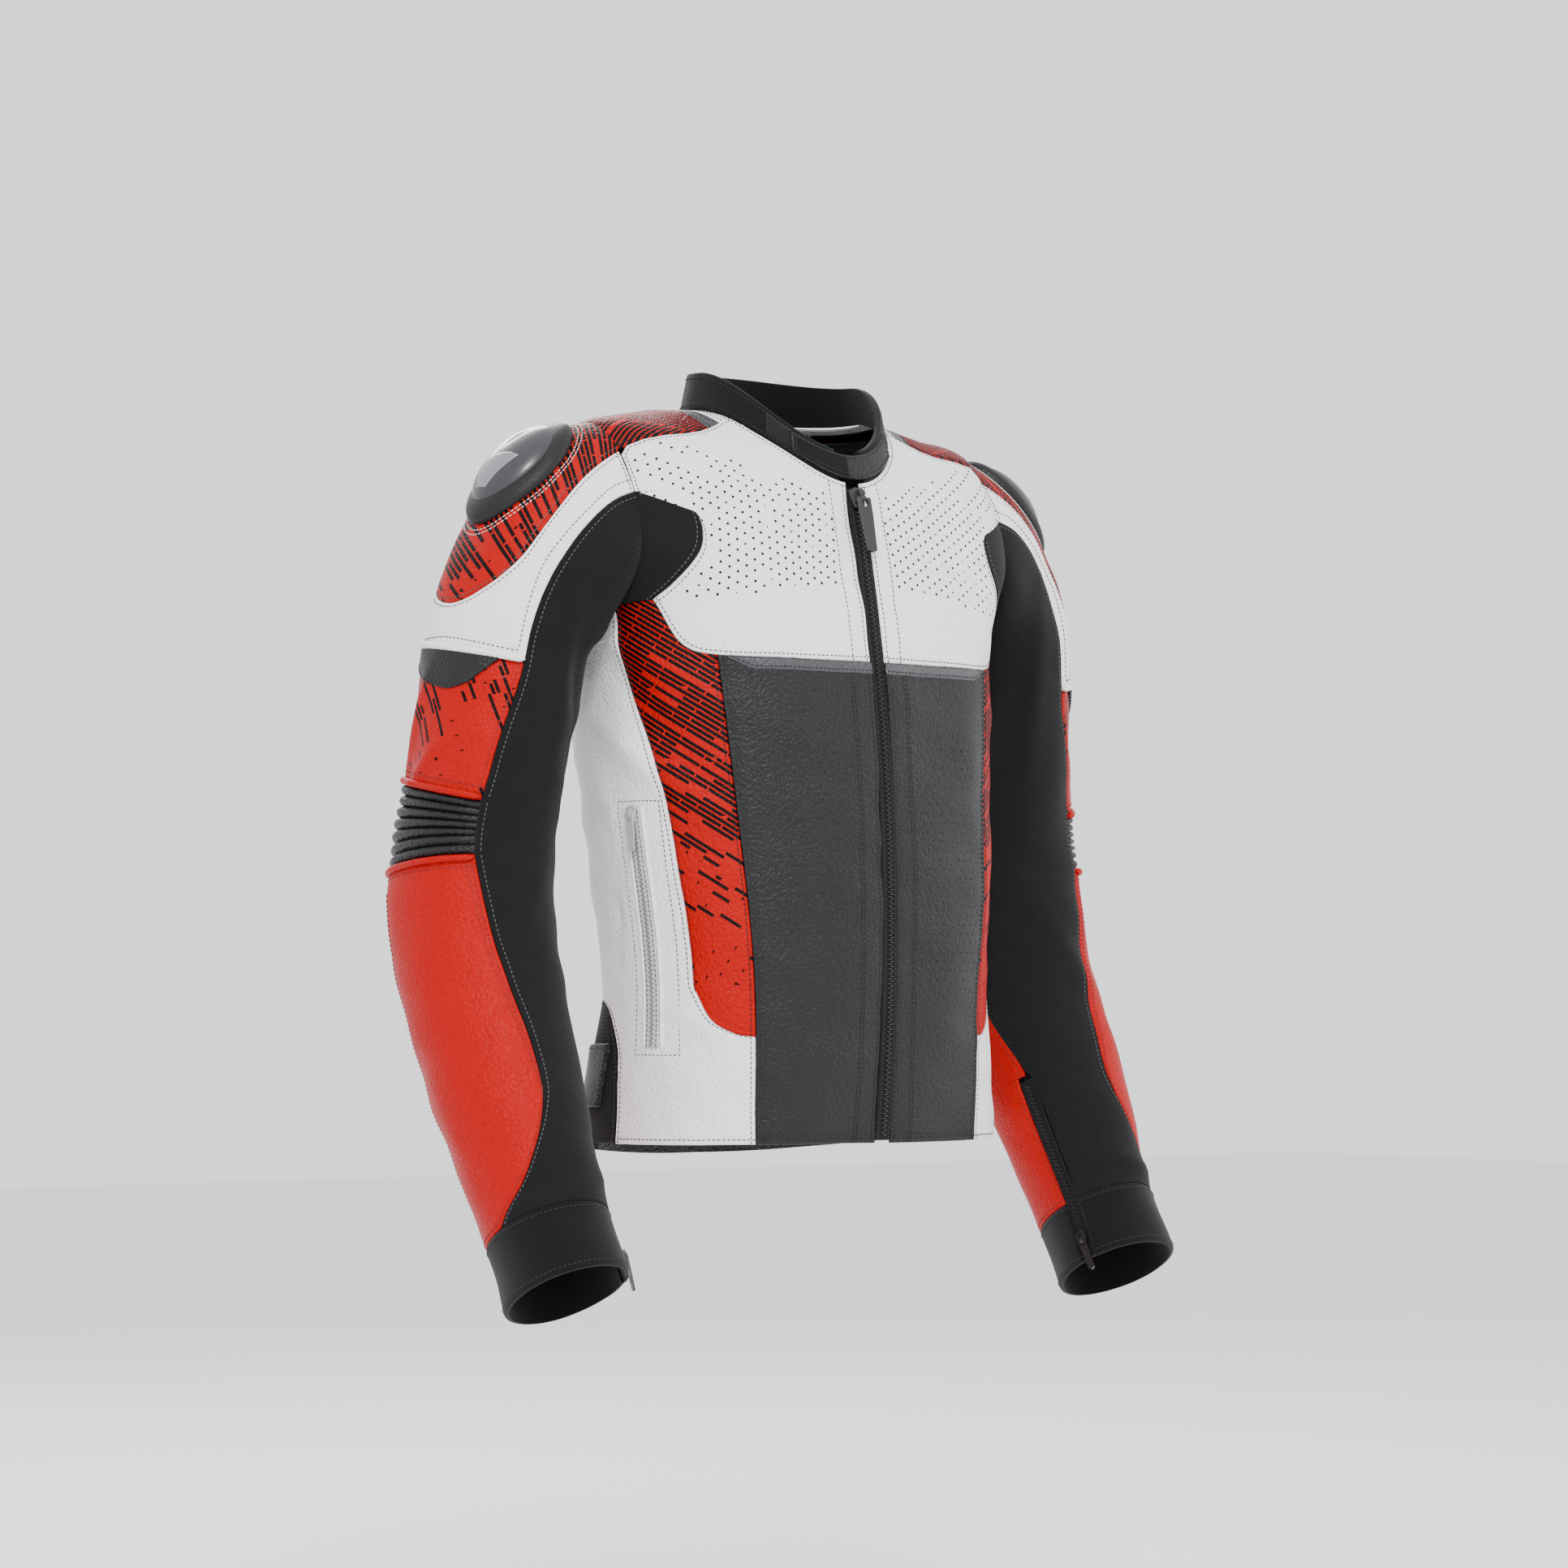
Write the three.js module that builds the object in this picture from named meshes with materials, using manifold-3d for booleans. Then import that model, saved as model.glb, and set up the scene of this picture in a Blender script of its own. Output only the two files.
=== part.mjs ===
// A two-piece-suit riding jacket in leather, shaped as it is worn: closed front zip, elbows slightly bent.
// Millimetres, +Z up, -Y is the wearer's front and +X the wearer's left. Heights in this file are measured
// up from the front hem; the finished group is lowered so that the neck opening's centre is the origin.
import * as THREE from "three";
import Module from "manifold-3d";
import { mergeVertices } from "three/addons/utils/BufferGeometryUtils.js";

const wasm = await Module();
wasm.setup();

// ---- driving dimensions ------------------------------------------------------------------------------
const NECK_SEAT = 505; // height of the neck opening's centre, which is the part's origin
const LEATHER = 2.4; // shell leather with its backing
const LINING_OUT = LEATHER + 5; // how far the lining lies behind the shell's face
const LINING_IN = LINING_OUT + 1.2;
const SLEEVE_LINING = LEATHER + 4; // the same for the sleeves
const SEAM = 0.9; // gap between neighbouring panels: the stitched valley
const FIT = 0.35; // running gap between pieces that touch
const HEM_HALF = 158; // half widths of the body, from the middle to the side
const WAIST_HALF = 149;
const CHEST_HALF = 160;
const ARMHOLE_X = CHEST_HALF + 4; // the armhole lies in this plane
const WAIST_Z = 110;
const RIBS_Z = 230;
const CHEST_Z = 330;
const ARMPIT_Z = 372;
const SHOULDER_Z = 512;
const NECK_HALF = 76;
const NECK_FRONT_Z = 471;
const NECK_SIDE_Z = 528;
const ZIP_RADIUS = 1200; // the front zip lies on this arc, so that its slider can run along it
const ZIP_FORWARD_Z = 150; // height at which the front stands furthest forward
const ZIP_FORWARD_Y = -116;
const UPPER_ARM_R = [54, 61]; // sleeve radii: sideways, front to back
const ELBOW_R = [54, 60];
const FOREARM_R = [49, 53];
const WRIST_R = [42, 46];
const UPPER_ARM_LENGTH = 165; // from just under the armpit to the elbow's middle
const FOREARM_LENGTH = 325; // from the elbow's middle to the cuff's edge
const COLLAR_H = 28;
const ZIP_TAPE = 6; // half width of a zip's tape
const ZIP_THICK = 2.2;

const rad = THREE.MathUtils.degToRad;
const vec = (x, y, z) => new THREE.Vector3(x, y, z);

// ---- small numeric helpers ---------------------------------------------------------------------------
// Smooth interpolation through rows [key, value, value, ...] (Catmull-Rom on uneven keys).
function spline(rows) {
  const n = rows.length;
  const slope = (i, k) => {
    const a = rows[Math.max(0, i - 1)];
    const b = rows[Math.min(n - 1, i + 1)];
    return (b[k] - a[k]) / (b[0] - a[0]);
  };
  return (t) => {
    let i = 0;
    while (i < n - 2 && t > rows[i + 1][0]) i++;
    const [a, b] = [rows[i], rows[i + 1]];
    const h = b[0] - a[0];
    const u = (t - a[0]) / h;
    const u2 = u * u;
    const u3 = u2 * u;
    return a.slice(1).map((_, j) => {
      const k = j + 1;
      return (
        (2 * u3 - 3 * u2 + 1) * a[k] +
        (u3 - 2 * u2 + u) * h * slope(i, k) +
        (3 * u2 - 2 * u3) * b[k] +
        (u3 - u2) * h * slope(i + 1, k)
      );
    });
  };
}

// A line through 2-D points run from 0 to 1, each leg taking an equal share, so that corners fall on grid lines.
function edge(points) {
  const legs = points.length - 1;
  return (t) => {
    const i = Math.min(legs - 1, Math.floor(t * legs + 1e-9));
    const u = t * legs - i;
    return points[i].map((x, k) => x + (points[i + 1][k] - x) * u);
  };
}

// ---- the body form -----------------------------------------------------------------------------------
const zipY = (z) => ZIP_FORWARD_Y + ZIP_RADIUS - Math.sqrt(ZIP_RADIUS ** 2 - (z - ZIP_FORWARD_Z) ** 2);

// Rings from hem (0) to neckline (1): side x, y, z; front z; back y, z; squareness. The front's y is the zip's arc.
const bodyRing = spline([
  [0.0, HEM_HALF, 8, 0, 0, 112, -12, 2.4],
  [0.22, WAIST_HALF, 2, WAIST_Z, WAIST_Z, 98, WAIST_Z - 4, 2.3],
  [0.46, CHEST_HALF - 5, 8, RIBS_Z, RIBS_Z - 2, 116, RIBS_Z, 2.3],
  [0.66, CHEST_HALF, 14, CHEST_Z, CHEST_Z - 4, 136, CHEST_Z + 6, 2.45],
  [0.74, ARMHOLE_X, 18, ARMPIT_Z, ARMPIT_Z - 8, 141, ARMPIT_Z + 10, 2.55],
  [0.84, ARMHOLE_X + 20, 26, (ARMPIT_Z + SHOULDER_Z) / 2 + 6, NECK_FRONT_Z - 62, 138, 446, 2.6],
  [0.92, ARMHOLE_X, 32, SHOULDER_Z, NECK_FRONT_Z - 28, 118, 498, 2.35],
  [0.96, (ARMHOLE_X + NECK_HALF) / 2, 30, NECK_SIDE_Z - 5, NECK_FRONT_Z - 12, 100, 518, 2.1],
  [1.0, NECK_HALF, 20, NECK_SIDE_Z, NECK_FRONT_Z, 82, NECK_SIDE_Z + 3, 2.0],
]);

// A point of the body: angle 0 is the front middle and 90 the wearer's left; v runs from hem to neckline.
function body(angle, v) {
  const [xs, ys, zs, zf, yb, zb, n] = bodyRing(v);
  const a = rad(angle);
  const front = Math.cos(a) >= 0;
  const depth = front ? ys - zipY(zf) : yb - ys;
  const s = Math.abs(Math.sin(a)) / xs;
  const c = Math.abs(Math.cos(a)) / depth;
  const r = (s ** n + c ** n) ** (-1 / n);
  const share = (r * Math.cos(a)) / depth; // 1 at the middle, 0 at the side
  return vec(r * Math.sin(a), ys - r * Math.cos(a), zs + ((front ? zf : zb) - zs) * share * share);
}

// The angle at which ring v of the front passes a share of its half width.
function frontAngle(share, v) {
  const [xs, ys, , zf, , , n] = bodyRing(v);
  const y = (ys - zipY(zf)) * (1 - share ** n) ** (1 / n);
  return THREE.MathUtils.radToDeg(Math.atan2(share * xs, y));
}
const onFront = (pairs) => pairs.map(([v, share]) => [frontAngle(share, v), v]);

// Body parameters of the front's point seen at x, z from the front, by stepping towards it.
function onFace(x, z) {
  let [angle, v] = [frontAngle(Math.min(0.98, x / 165), 0.5), Math.min(1, z / 500)];
  for (let k = 0; k < 60; k++) {
    const p = body(angle, v);
    const [xs, ys, , zf] = bodyRing(v);
    const reach = Math.max(25, Math.hypot(xs * Math.cos(rad(angle)), 0.3 * (ys - zipY(zf))));
    angle += (0.7 * (x - p.x) * 57.3) / reach;
    v += (0.7 * (z - p.z)) / 540;
  }
  return [angle, v];
}

// ---- the armhole: where the body form crosses the plane x = ARMHOLE_X ----------------------------------
const ARMHOLE_MIDDLE = [28, (ARMPIT_Z + SHOULDER_Z) / 2];
const armholeTable = (() => {
  const found = [];
  for (let v = 0.735; v <= 0.93; v += 0.001) {
    const [xs, ys, , zf, yb, , n] = bodyRing(v);
    if (xs <= ARMHOLE_X) continue;
    const share = (1 - (ARMHOLE_X / xs) ** n) ** (1 / n);
    for (const [depth, sign] of [
      [ys - zipY(zf), 1],
      [yb - ys, -1],
    ]) {
      const angle = 90 - sign * THREE.MathUtils.radToDeg(Math.atan2(share * depth, ARMHOLE_X));
      const p = body(angle, v);
      const turn = THREE.MathUtils.radToDeg(Math.atan2(ARMHOLE_MIDDLE[0] - p.y, p.z - ARMHOLE_MIDDLE[1]));
      found.push([turn, angle, v]);
    }
  }
  found.sort((a, b) => a[0] - b[0]);
  const wrap = (row, by) => [row[0] + by, row[1], row[2]];
  return [wrap(found.at(-1), -360), ...found, wrap(found[0], 360)];
})();

// Body parameters on the armhole; turn 0 is its top, 90 its front, 180 the armpit, 270 its back.
function armholeAt(turn) {
  const t = ((((turn + 180) % 360) + 360) % 360) - 180;
  let i = 0;
  while (i < armholeTable.length - 2 && armholeTable[i + 1][0] < t) i++;
  const [a, b] = [armholeTable[i], armholeTable[i + 1]];
  const u = (t - a[0]) / Math.max(b[0] - a[0], 1e-6);
  return [a[1] + (b[1] - a[1]) * u, a[2] + (b[2] - a[2]) * u];
}

// ---- the sleeve form (the wearer's left; the right one is its mirror image) --------------------------------
const CAP_END = 0.25; // the sleeve's cap reaches from 0 at the armhole to here
const ELBOW = 0.515; // middle of the elbow
const ELBOW_FROM = 0.45; // the ribbed, flexing length of the elbow
const ELBOW_TO = 0.535;
const UPPER_X = ARMHOLE_X + UPPER_ARM_R[0] + 4;
const ELBOW_Z = ARMPIT_Z - UPPER_ARM_LENGTH;
// Middle line and radii: x, y, z, sideways radius, front-to-back radius.
const tubeRow = spline([
  [CAP_END, UPPER_X, 38, ARMPIT_Z - 20, ...UPPER_ARM_R],
  [0.4, UPPER_X + 11, 47, ELBOW_Z + 63, UPPER_ARM_R[0] - 1, UPPER_ARM_R[1] - 1],
  [ELBOW, UPPER_X + 17, 53, ELBOW_Z, ...ELBOW_R],
  [0.66, UPPER_X + 23, 34, ELBOW_Z - 0.3 * FOREARM_LENGTH, ELBOW_R[0], ELBOW_R[1] - 1],
  [0.82, UPPER_X + 25, -14, ELBOW_Z - 0.6 * FOREARM_LENGTH, ...FOREARM_R],
  [0.94, UPPER_X + 25, -56, ELBOW_Z - 0.84 * FOREARM_LENGTH, ...WRIST_R],
  [1.0, UPPER_X + 24, -74, ELBOW_Z - 0.94 * FOREARM_LENGTH, WRIST_R[0] + 1, WRIST_R[1] + 1],
]);
const ELBOW_BULGE = 6;

function tube(turn, t) {
  const [x, y, z, side, depth] = tubeRow(t);
  const step = 0.004;
  const before = tubeRow(Math.max(CAP_END, t - step));
  const after = tubeRow(Math.min(1, t + step));
  const axis = vec(after[0] - before[0], after[1] - before[1], after[2] - before[2]).normalize();
  const across = vec(1, 0, 0).addScaledVector(axis, -axis.x).normalize();
  const forward = axis.clone().cross(across);
  const a = rad(turn);
  const bulge = ELBOW_BULGE * Math.exp(-(((t - 0.58) / 0.07) ** 2)) * Math.max(0, Math.cos(a + rad(70))) ** 2;
  return vec(x, y, z)
    .addScaledVector(across, (side + bulge) * Math.cos(a))
    .addScaledVector(forward, (depth + bulge) * Math.sin(a));
}

// A point of the sleeve: turn 0 is its outer side, 90 its front and 180 the side next to the body.
function sleeve(turn, t) {
  if (t >= CAP_END) return tube(turn, t);
  const a = rad(turn);
  const start = body(...armholeAt(turn));
  const end = tube(turn, CAP_END);
  const chord = start.distanceTo(end);
  const leave = vec(0.62 + 0.38 * Math.cos(a), -0.22 * Math.sin(a), -0.6 + 0.38 * Math.cos(a)).normalize();
  const arrive = tube(turn, CAP_END + 0.01).sub(end).normalize();
  const u = t / CAP_END;
  return start
    .multiplyScalar(2 * u ** 3 - 3 * u ** 2 + 1)
    .addScaledVector(leave, (u ** 3 - 2 * u ** 2 + u) * chord)
    .addScaledVector(end, 3 * u ** 2 - 2 * u ** 3)
    .addScaledVector(arrive, (u ** 3 - u ** 2) * chord);
}

// The stand collar on top of the neckline, w from its seam (0) to its top edge (1).
function collarForm(angle, w) {
  const base = body(angle, 1);
  const c = Math.cos(rad(angle));
  const h = COLLAR_H - 4 * c;
  const lean = 0.16 + 0.1 * Math.max(0, -c);
  return base.add(vec(-Math.sin(rad(angle)) * h * w * lean, c * h * w * (lean + 0.12), h * w));
}

const zipForm = (x, z) => vec(x, zipY(z), z);

// ---- from surfaces to closed solids --------------------------------------------------------------------
// Outward normal of a two-parameter surface, by small steps.
function normalOf(surface, p, q, outFrom) {
  const e = 0.4;
  const k = 0.002;
  const du = surface(p + e, q).sub(surface(p - e, q));
  const dv = surface(p, q + k).sub(surface(p, q - k));
  const n = du.cross(dv).normalize();
  return n.dot(surface(p, q).sub(outFrom(q))) < 0 ? n.negate() : n;
}
const bodyMiddle = (v) => vec(0, 20, Math.min(450, 500 * v));
const sleeveMiddle = (t) => {
  const [x, y, z] = tubeRow(Math.max(t, CAP_END));
  return t >= CAP_END ? vec(x, y, z) : vec(ARMHOLE_X + 30, 34, z + (CAP_END - t) * 240);
};

// A Coons patch: fills four edge curves given as (parameter, parameter) points. a runs left to right, b bottom to top.
function quad(bottom, right, top, left) {
  const [b0, r0, t0, l0] = [bottom, right, top, left].map(edge);
  const mix = (p, q, u) => p.map((x, i) => x + (q[i] - x) * u);
  return (a, b) => {
    const ruled1 = mix(b0(a), t0(a), b);
    const ruled2 = mix(l0(b), r0(b), a);
    const corners = mix(mix(b0(0), b0(1), a), mix(t0(0), t0(1), a), b);
    return ruled1.map((x, i) => x + ruled2[i] - corners[i]);
  };
}
const box = (p0, p1, q0, q1) => (a, b) => [p0 + (p1 - p0) * a, q0 + (q1 - q0) * b];

// A closed sheet over map(a, b), between two offsets along the surface's normal, taken in by half a seam all round.
function sheet({ surface, middle, map, cells, low = -LEATHER, high = 0, inset = SEAM / 2, ring = false }) {
  const [na, nb] = cells;
  const size = (f) => {
    let sum = 0;
    for (let i = 0; i < 8; i++) sum += surface(...f(i / 8)).distanceTo(surface(...f((i + 1) / 8)));
    return sum;
  };
  const ga = ring ? 0 : inset / size((u) => map(u, 0.5));
  const gb = inset / size((u) => map(0.5, u));
  const points = [];
  for (const level of [high, low])
    for (let j = 0; j <= nb; j++)
      for (let i = 0; i <= na - (ring ? 1 : 0); i++) {
        const a = i / na;
        const b = j / nb;
        const [p, q] = map(ga + a * (1 - 2 * ga), gb + b * (1 - 2 * gb));
        const offset = typeof level === "function" ? level(a, b) : level;
        points.push(surface(p, q).addScaledVector(normalOf(surface, p, q, middle), offset));
      }
  const row = ring ? na : na + 1;
  const layer = row * (nb + 1);
  const at = (side, i, j) => side * layer + j * row + (i % row);
  const tri = [];
  const face = (a, b, c, d) => tri.push(a, b, c, a, c, d);
  for (let j = 0; j < nb; j++)
    for (let i = 0; i < na; i++) {
      face(at(0, i, j), at(0, i + 1, j), at(0, i + 1, j + 1), at(0, i, j + 1));
      face(at(1, i, j), at(1, i, j + 1), at(1, i + 1, j + 1), at(1, i + 1, j));
    }
  for (let i = 0; i < na; i++) {
    face(at(0, i + 1, 0), at(0, i, 0), at(1, i, 0), at(1, i + 1, 0));
    face(at(0, i, nb), at(0, i + 1, nb), at(1, i + 1, nb), at(1, i, nb));
  }
  for (let j = 0; j < nb && !ring; j++) {
    face(at(0, 0, j), at(0, 0, j + 1), at(1, 0, j + 1), at(1, 0, j));
    face(at(0, na, j + 1), at(0, na, j), at(1, na, j), at(1, na, j + 1));
  }
  return fromPoints(points, tri);
}

function fromPoints(points, tri) {
  let volume = 0;
  for (let i = 0; i < tri.length; i += 3)
    volume += points[tri[i]].dot(points[tri[i + 1]].clone().cross(points[tri[i + 2]]));
  if (volume < 0) tri.reverse();
  return new THREE.BufferGeometry()
    .setAttribute("position", new THREE.Float32BufferAttribute(points.flatMap((p) => p.toArray()), 3))
    .setIndex(tri);
}

// The wearer's right copy of a left piece.
function mirrored(geometry) {
  const g = geometry.clone().applyMatrix4(new THREE.Matrix4().makeScale(-1, 1, 1));
  const index = Array.from(g.index.array).reverse();
  return g.setIndex(index);
}

const onBody = { surface: body, middle: bodyMiddle };
const onSleeve = { surface: sleeve, middle: sleeveMiddle };

// ---- manifold joins and cuts -----------------------------------------------------------------------------
function solidOf(geometry) {
  const g = geometry.clone();
  g.deleteAttribute("normal");
  g.deleteAttribute("uv");
  const merged = mergeVertices(g, 1e-4);
  return new wasm.Manifold(
    new wasm.Mesh({
      numProp: 3,
      vertProperties: merged.attributes.position.array,
      triVerts: new Uint32Array(merged.index.array),
    }),
  );
}
function geometryOf(solid) {
  const m = solid.getMesh();
  return new THREE.BufferGeometry()
    .setAttribute("position", new THREE.Float32BufferAttribute(m.vertProperties, 3))
    .setIndex(Array.from(m.triVerts));
}
const join = (...parts) => geometryOf(parts.map(solidOf).reduce((a, b) => a.add(b)));
const cut = (part, ...tools) => geometryOf(tools.map(solidOf).reduce((a, b) => a.subtract(b), solidOf(part)));
const block = (w, d, h, x, y, z) => new THREE.BoxGeometry(w, d, h).translate(x, y, z);

// ---- materials and the group --------------------------------------------------------------------------------
const finish = (color, roughness, metalness = 0) => new THREE.MeshStandardMaterial({ color, roughness, metalness });
const white = finish("#ececec", 0.5);
const red = finish("#e00b08", 0.5);
const darkGrey = finish("#363636", 0.5);
const stretch = finish("#1c1c1d", 0.9);
const neoprene = finish("#1a1a1b", 0.85);
const zipBlack = finish("#101010", 0.4);
const zipWhite = finish("#e6e6e6", 0.4);
const hardShell = finish("#444446", 0.35);
const foam = finish("#8d9196", 0.9);
const mesh = finish("#202124", 0.95);

const jacket = new THREE.Group();
jacket.position.z = -NECK_SEAT;
function add(name, geometry, material) {
  const m = new THREE.Mesh(geometry, material);
  m.name = name;
  jacket.add(m);
}
function addPair(name, geometry, material) {
  add(name + "_left", geometry, material);
  add(name + "_right", mirrored(geometry), material);
}

// ---- body panels ------------------------------------------------------------------------------------------------
const ZIP_EDGE = ZIP_TAPE + 0.7; // the front panels begin this far from the middle
const YOKE_V = 0.69; // lower edge of the chest yoke
const BACK_YOKE_V = 0.63;
const BACK_SIDE = 126; // the back panel's edge, as an angle
const pitFront = armholeAt(150); // the chest panels end here at the armhole
const pitBack = armholeAt(205);
const zipSide = (v) => [frontAngle((ZIP_EDGE - SEAM / 2) / bodyRing(v)[0], v), v];
const bellySide = onFront([
  [0, 0.62],
  [0.15, 0.665],
  [0.36, 0.7],
  [YOKE_V, 0.75],
]);
const flankFoot = onFront([
  [0.15, 0.665],
  [0.155, 0.745],
  [0.175, 0.83],
  [0.22, 0.885],
]);
const flankSide = [
  ...onFront([
    [0.22, 0.885],
    [0.36, 0.907],
    [0.53, 0.943],
  ]),
  [80, 0.655],
  pitFront,
];
// The stretch panel of the arm reaches on to the chest in this lobe: x, z seen from the front.
const lobe = [
  [ARMHOLE_X - 13, 391],
  [ARMHOLE_X - 22, 400],
  [ARMHOLE_X - 33, 414],
  [ARMHOLE_X - 38, 430],
  [ARMHOLE_X - 36, 446],
  [ARMHOLE_X - 25, 457],
  [ARMHOLE_X - 12, 459],
].map(([x, z]) => onFace(x, z));
const lobeTop = armholeAt(72);
const aboveLobe = [onFace(ARMHOLE_X - 12, 463), armholeAt(65)]; // the yoke's edge along the lobe's top
const yokeFoot = [zipSide(YOKE_V), ...onFront([[YOKE_V, 0.4], [YOKE_V, 0.75], [0.7, 0.88]]), lobe[0]];
const gussetTop = [
  [86, 0],
  [89, 0.11],
  [97, 0.185],
  [111, 0.207],
  [BACK_SIDE, 0.22],
];
const pitFoot = [pitFront, armholeAt(178), pitBack, [114, 0.7], [BACK_SIDE, BACK_YOKE_V]];
const saddleFront = [armholeAt(42), [62, 0.962], [62, 1]];
const saddleBack = [armholeAt(-45), [122, 0.962], [122, 1]];

addPair(
  "yoke_front",
  sheet({
    ...onBody,
    cells: [8, 10],
    map: quad(
      yokeFoot,
      [...lobe.slice(0, 6), ...aboveLobe, ...saddleFront],
      [zipSide(1), [31, 1], [62, 1]],
      [YOKE_V, 1].map(zipSide),
    ),
  }),
  white,
);
const lobeMap = quad(
  [lobe[0], pitFront],
  [150, 136, 122, 109, 96, 83, 72].map(armholeAt),
  [lobe[6], lobeTop],
  lobe,
);
addPair("chest_stretch", sheet({ ...onBody, cells: [2, 6], map: lobeMap }), stretch);
addPair(
  "belly_panel",
  sheet({
    ...onBody,
    cells: [4, 9],
    map: quad([zipSide(0), bellySide[0]], bellySide, yokeFoot.slice(0, 3), [0, 0.15, 0.36, YOKE_V].map(zipSide)),
  }),
  darkGrey,
);
addPair(
  "flank_print",
  sheet({
    ...onBody,
    cells: [6, 8],
    map: quad(flankFoot, flankSide, [...yokeFoot.slice(2), pitFront], bellySide.slice(1)),
  }),
  red,
);
addPair(
  "side_panel",
  sheet({
    ...onBody,
    cells: [8, 16],
    map: quad(
      [bellySide[0], gussetTop[0]],
      [...gussetTop, ...[0.32, 0.42, 0.52, BACK_YOKE_V].map((v) => [BACK_SIDE, v])],
      pitFoot,
      [bellySide[0], bellySide[1], flankFoot[1], flankFoot[2], ...flankSide],
    ),
  }),
  white,
);
addPair(
  "waist_gusset",
  sheet({
    ...onBody,
    cells: [6, 4],
    map: quad(
      [gussetTop[0], [BACK_SIDE, 0]],
      [[BACK_SIDE, 0], gussetTop[4]],
      gussetTop.slice(2),
      gussetTop.slice(0, 3),
    ),
  }),
  stretch,
);
add("back_panel", sheet({ ...onBody, cells: [9, 8], map: box(BACK_SIDE, 360 - BACK_SIDE, 0, BACK_YOKE_V) }), darkGrey);
const backYokeSide = [
  pitFoot[4],
  pitFoot[3],
  pitBack,
  ...[230, 258, 286].map(armholeAt),
  ...saddleBack,
];
add(
  "yoke_back",
  sheet({
    ...onBody,
    cells: [12, 8],
    map: quad(
      [pitFoot[4], [180, BACK_YOKE_V], [360 - BACK_SIDE, BACK_YOKE_V]],
      backYokeSide.map(([angle, v]) => [360 - angle, v]),
      [[122, 1], [180, 1], [238, 1]],
      backYokeSide,
    ),
  }),
  white,
);
const saddleFoot = [42, 21, 0, -21, -45].map(armholeAt);
addPair(
  "shoulder_saddle",
  sheet({
    ...onBody,
    cells: [8, 2],
    map: quad(saddleFoot, saddleBack, [saddleFront[2], [92, 1], saddleBack[2]], saddleFront),
  }),
  red,
);

// ---- collar and its strap -----------------------------------------------------------------------------------------
const COLLAR_THICK = 4.5;
const COLLAR_GAP = 7; // the collar's ends stop at this angle each side of the middle
const onCollar = { surface: collarForm, middle: () => vec(0, 5, NECK_SIDE_Z) };
add(
  "collar",
  sheet({
    ...onCollar,
    cells: [24, 3],
    map: box(COLLAR_GAP, 360 - COLLAR_GAP, 0.02, 1),
    low: -COLLAR_THICK,
  }),
  neoprene,
);
const TAB = [-29, 32]; // the strap's free end and its sewn end, as angles round the collar
add(
  "collar_tab",
  sheet({
    ...onCollar,
    cells: [7, 2],
    map: box(...TAB, 0.12, 0.86),
    low: FIT,
    high: FIT + 2.4,
    inset: 0.1,
  }),
  darkGrey,
);

// ---- front zip --------------------------------------------------------------------------------------------------------
const ZIP_TOP = NECK_FRONT_Z - 4;
const SLIDER_Z = NECK_FRONT_Z - 12; // the closed zip's slider
const onZip = { surface: zipForm, middle: (z) => vec(0, 0, z) };
const coil = (height) => (a) => height * Math.exp(-(((a - 0.5) * 5) ** 2));
add(
  "front_zip",
  sheet({
    ...onZip,
    cells: [6, 20],
    map: box(-ZIP_TAPE, ZIP_TAPE, 2, ZIP_TOP),
    low: -ZIP_THICK,
    high: coil(1.1),
    inset: 0,
  }),
  zipBlack,
);

// A zip slider: a shield-shaped body with a bail over it. Local axes: x across, y along the zip, z out.
function sliderShape(width, length, height) {
  const w = width / 2;
  const outline = new THREE.Shape()
    .moveTo(-w * 0.6, -length / 2)
    .lineTo(w * 0.6, -length / 2)
    .quadraticCurveTo(w, 0, w, length * 0.4)
    .lineTo(w * 0.5, length / 2)
    .lineTo(-w * 0.5, length / 2)
    .lineTo(-w, length * 0.4)
    .quadraticCurveTo(-w, 0, -w * 0.6, -length / 2);
  const plate = new THREE.ExtrudeGeometry(outline, { depth: height * 0.45, bevelEnabled: false, curveSegments: 4 });
  const bail = new THREE.Shape()
    .moveTo(-length * 0.32, 0)
    .lineTo(-length * 0.32, height * 0.35)
    .quadraticCurveTo(0, height * 0.75, length * 0.36, height * 0.35)
    .lineTo(length * 0.36, 0)
    .lineTo(-length * 0.32, 0);
  const bridge = new THREE.ExtrudeGeometry(bail, { depth: 2.4, bevelEnabled: false, curveSegments: 4 })
    .translate(0, 0, -1.2)
    .rotateX(Math.PI / 2)
    .rotateZ(Math.PI / 2)
    .translate(0, 0, height * 0.4);
  return join(plate, bridge);
}
// A pull tab hanging down from its pin at the local origin, with an eye through it. gap is how far it reaches above
// the pin.
function pullShape(width, length, thick, gap) {
  const w = width / 2;
  const outline = new THREE.Shape()
    .moveTo(-w, gap)
    .lineTo(w, gap)
    .lineTo(w, -length * 0.3)
    .lineTo(w * 0.7, -length)
    .quadraticCurveTo(0, -length - 3, -w * 0.7, -length)
    .lineTo(-w, -length * 0.3)
    .lineTo(-w, gap);
  const eye = new THREE.Path().absellipse(0, gap - 4.2, width * 0.26, 3, 0, Math.PI * 2, false);
  outline.holes.push(eye);
  return new THREE.ExtrudeGeometry(outline, { depth: thick, bevelEnabled: false, curveSegments: 5 });
}
// Places a local shape at a point of a surface line: y along "up", z along "out".
function placed(geometry, at, up, out) {
  const u = up.clone().normalize();
  const n = out.clone().addScaledVector(u, -out.dot(u)).normalize();
  const m = new THREE.Matrix4().makeBasis(u.clone().cross(n), u, n).setPosition(at);
  return geometry.clone().applyMatrix4(m);
}

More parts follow.
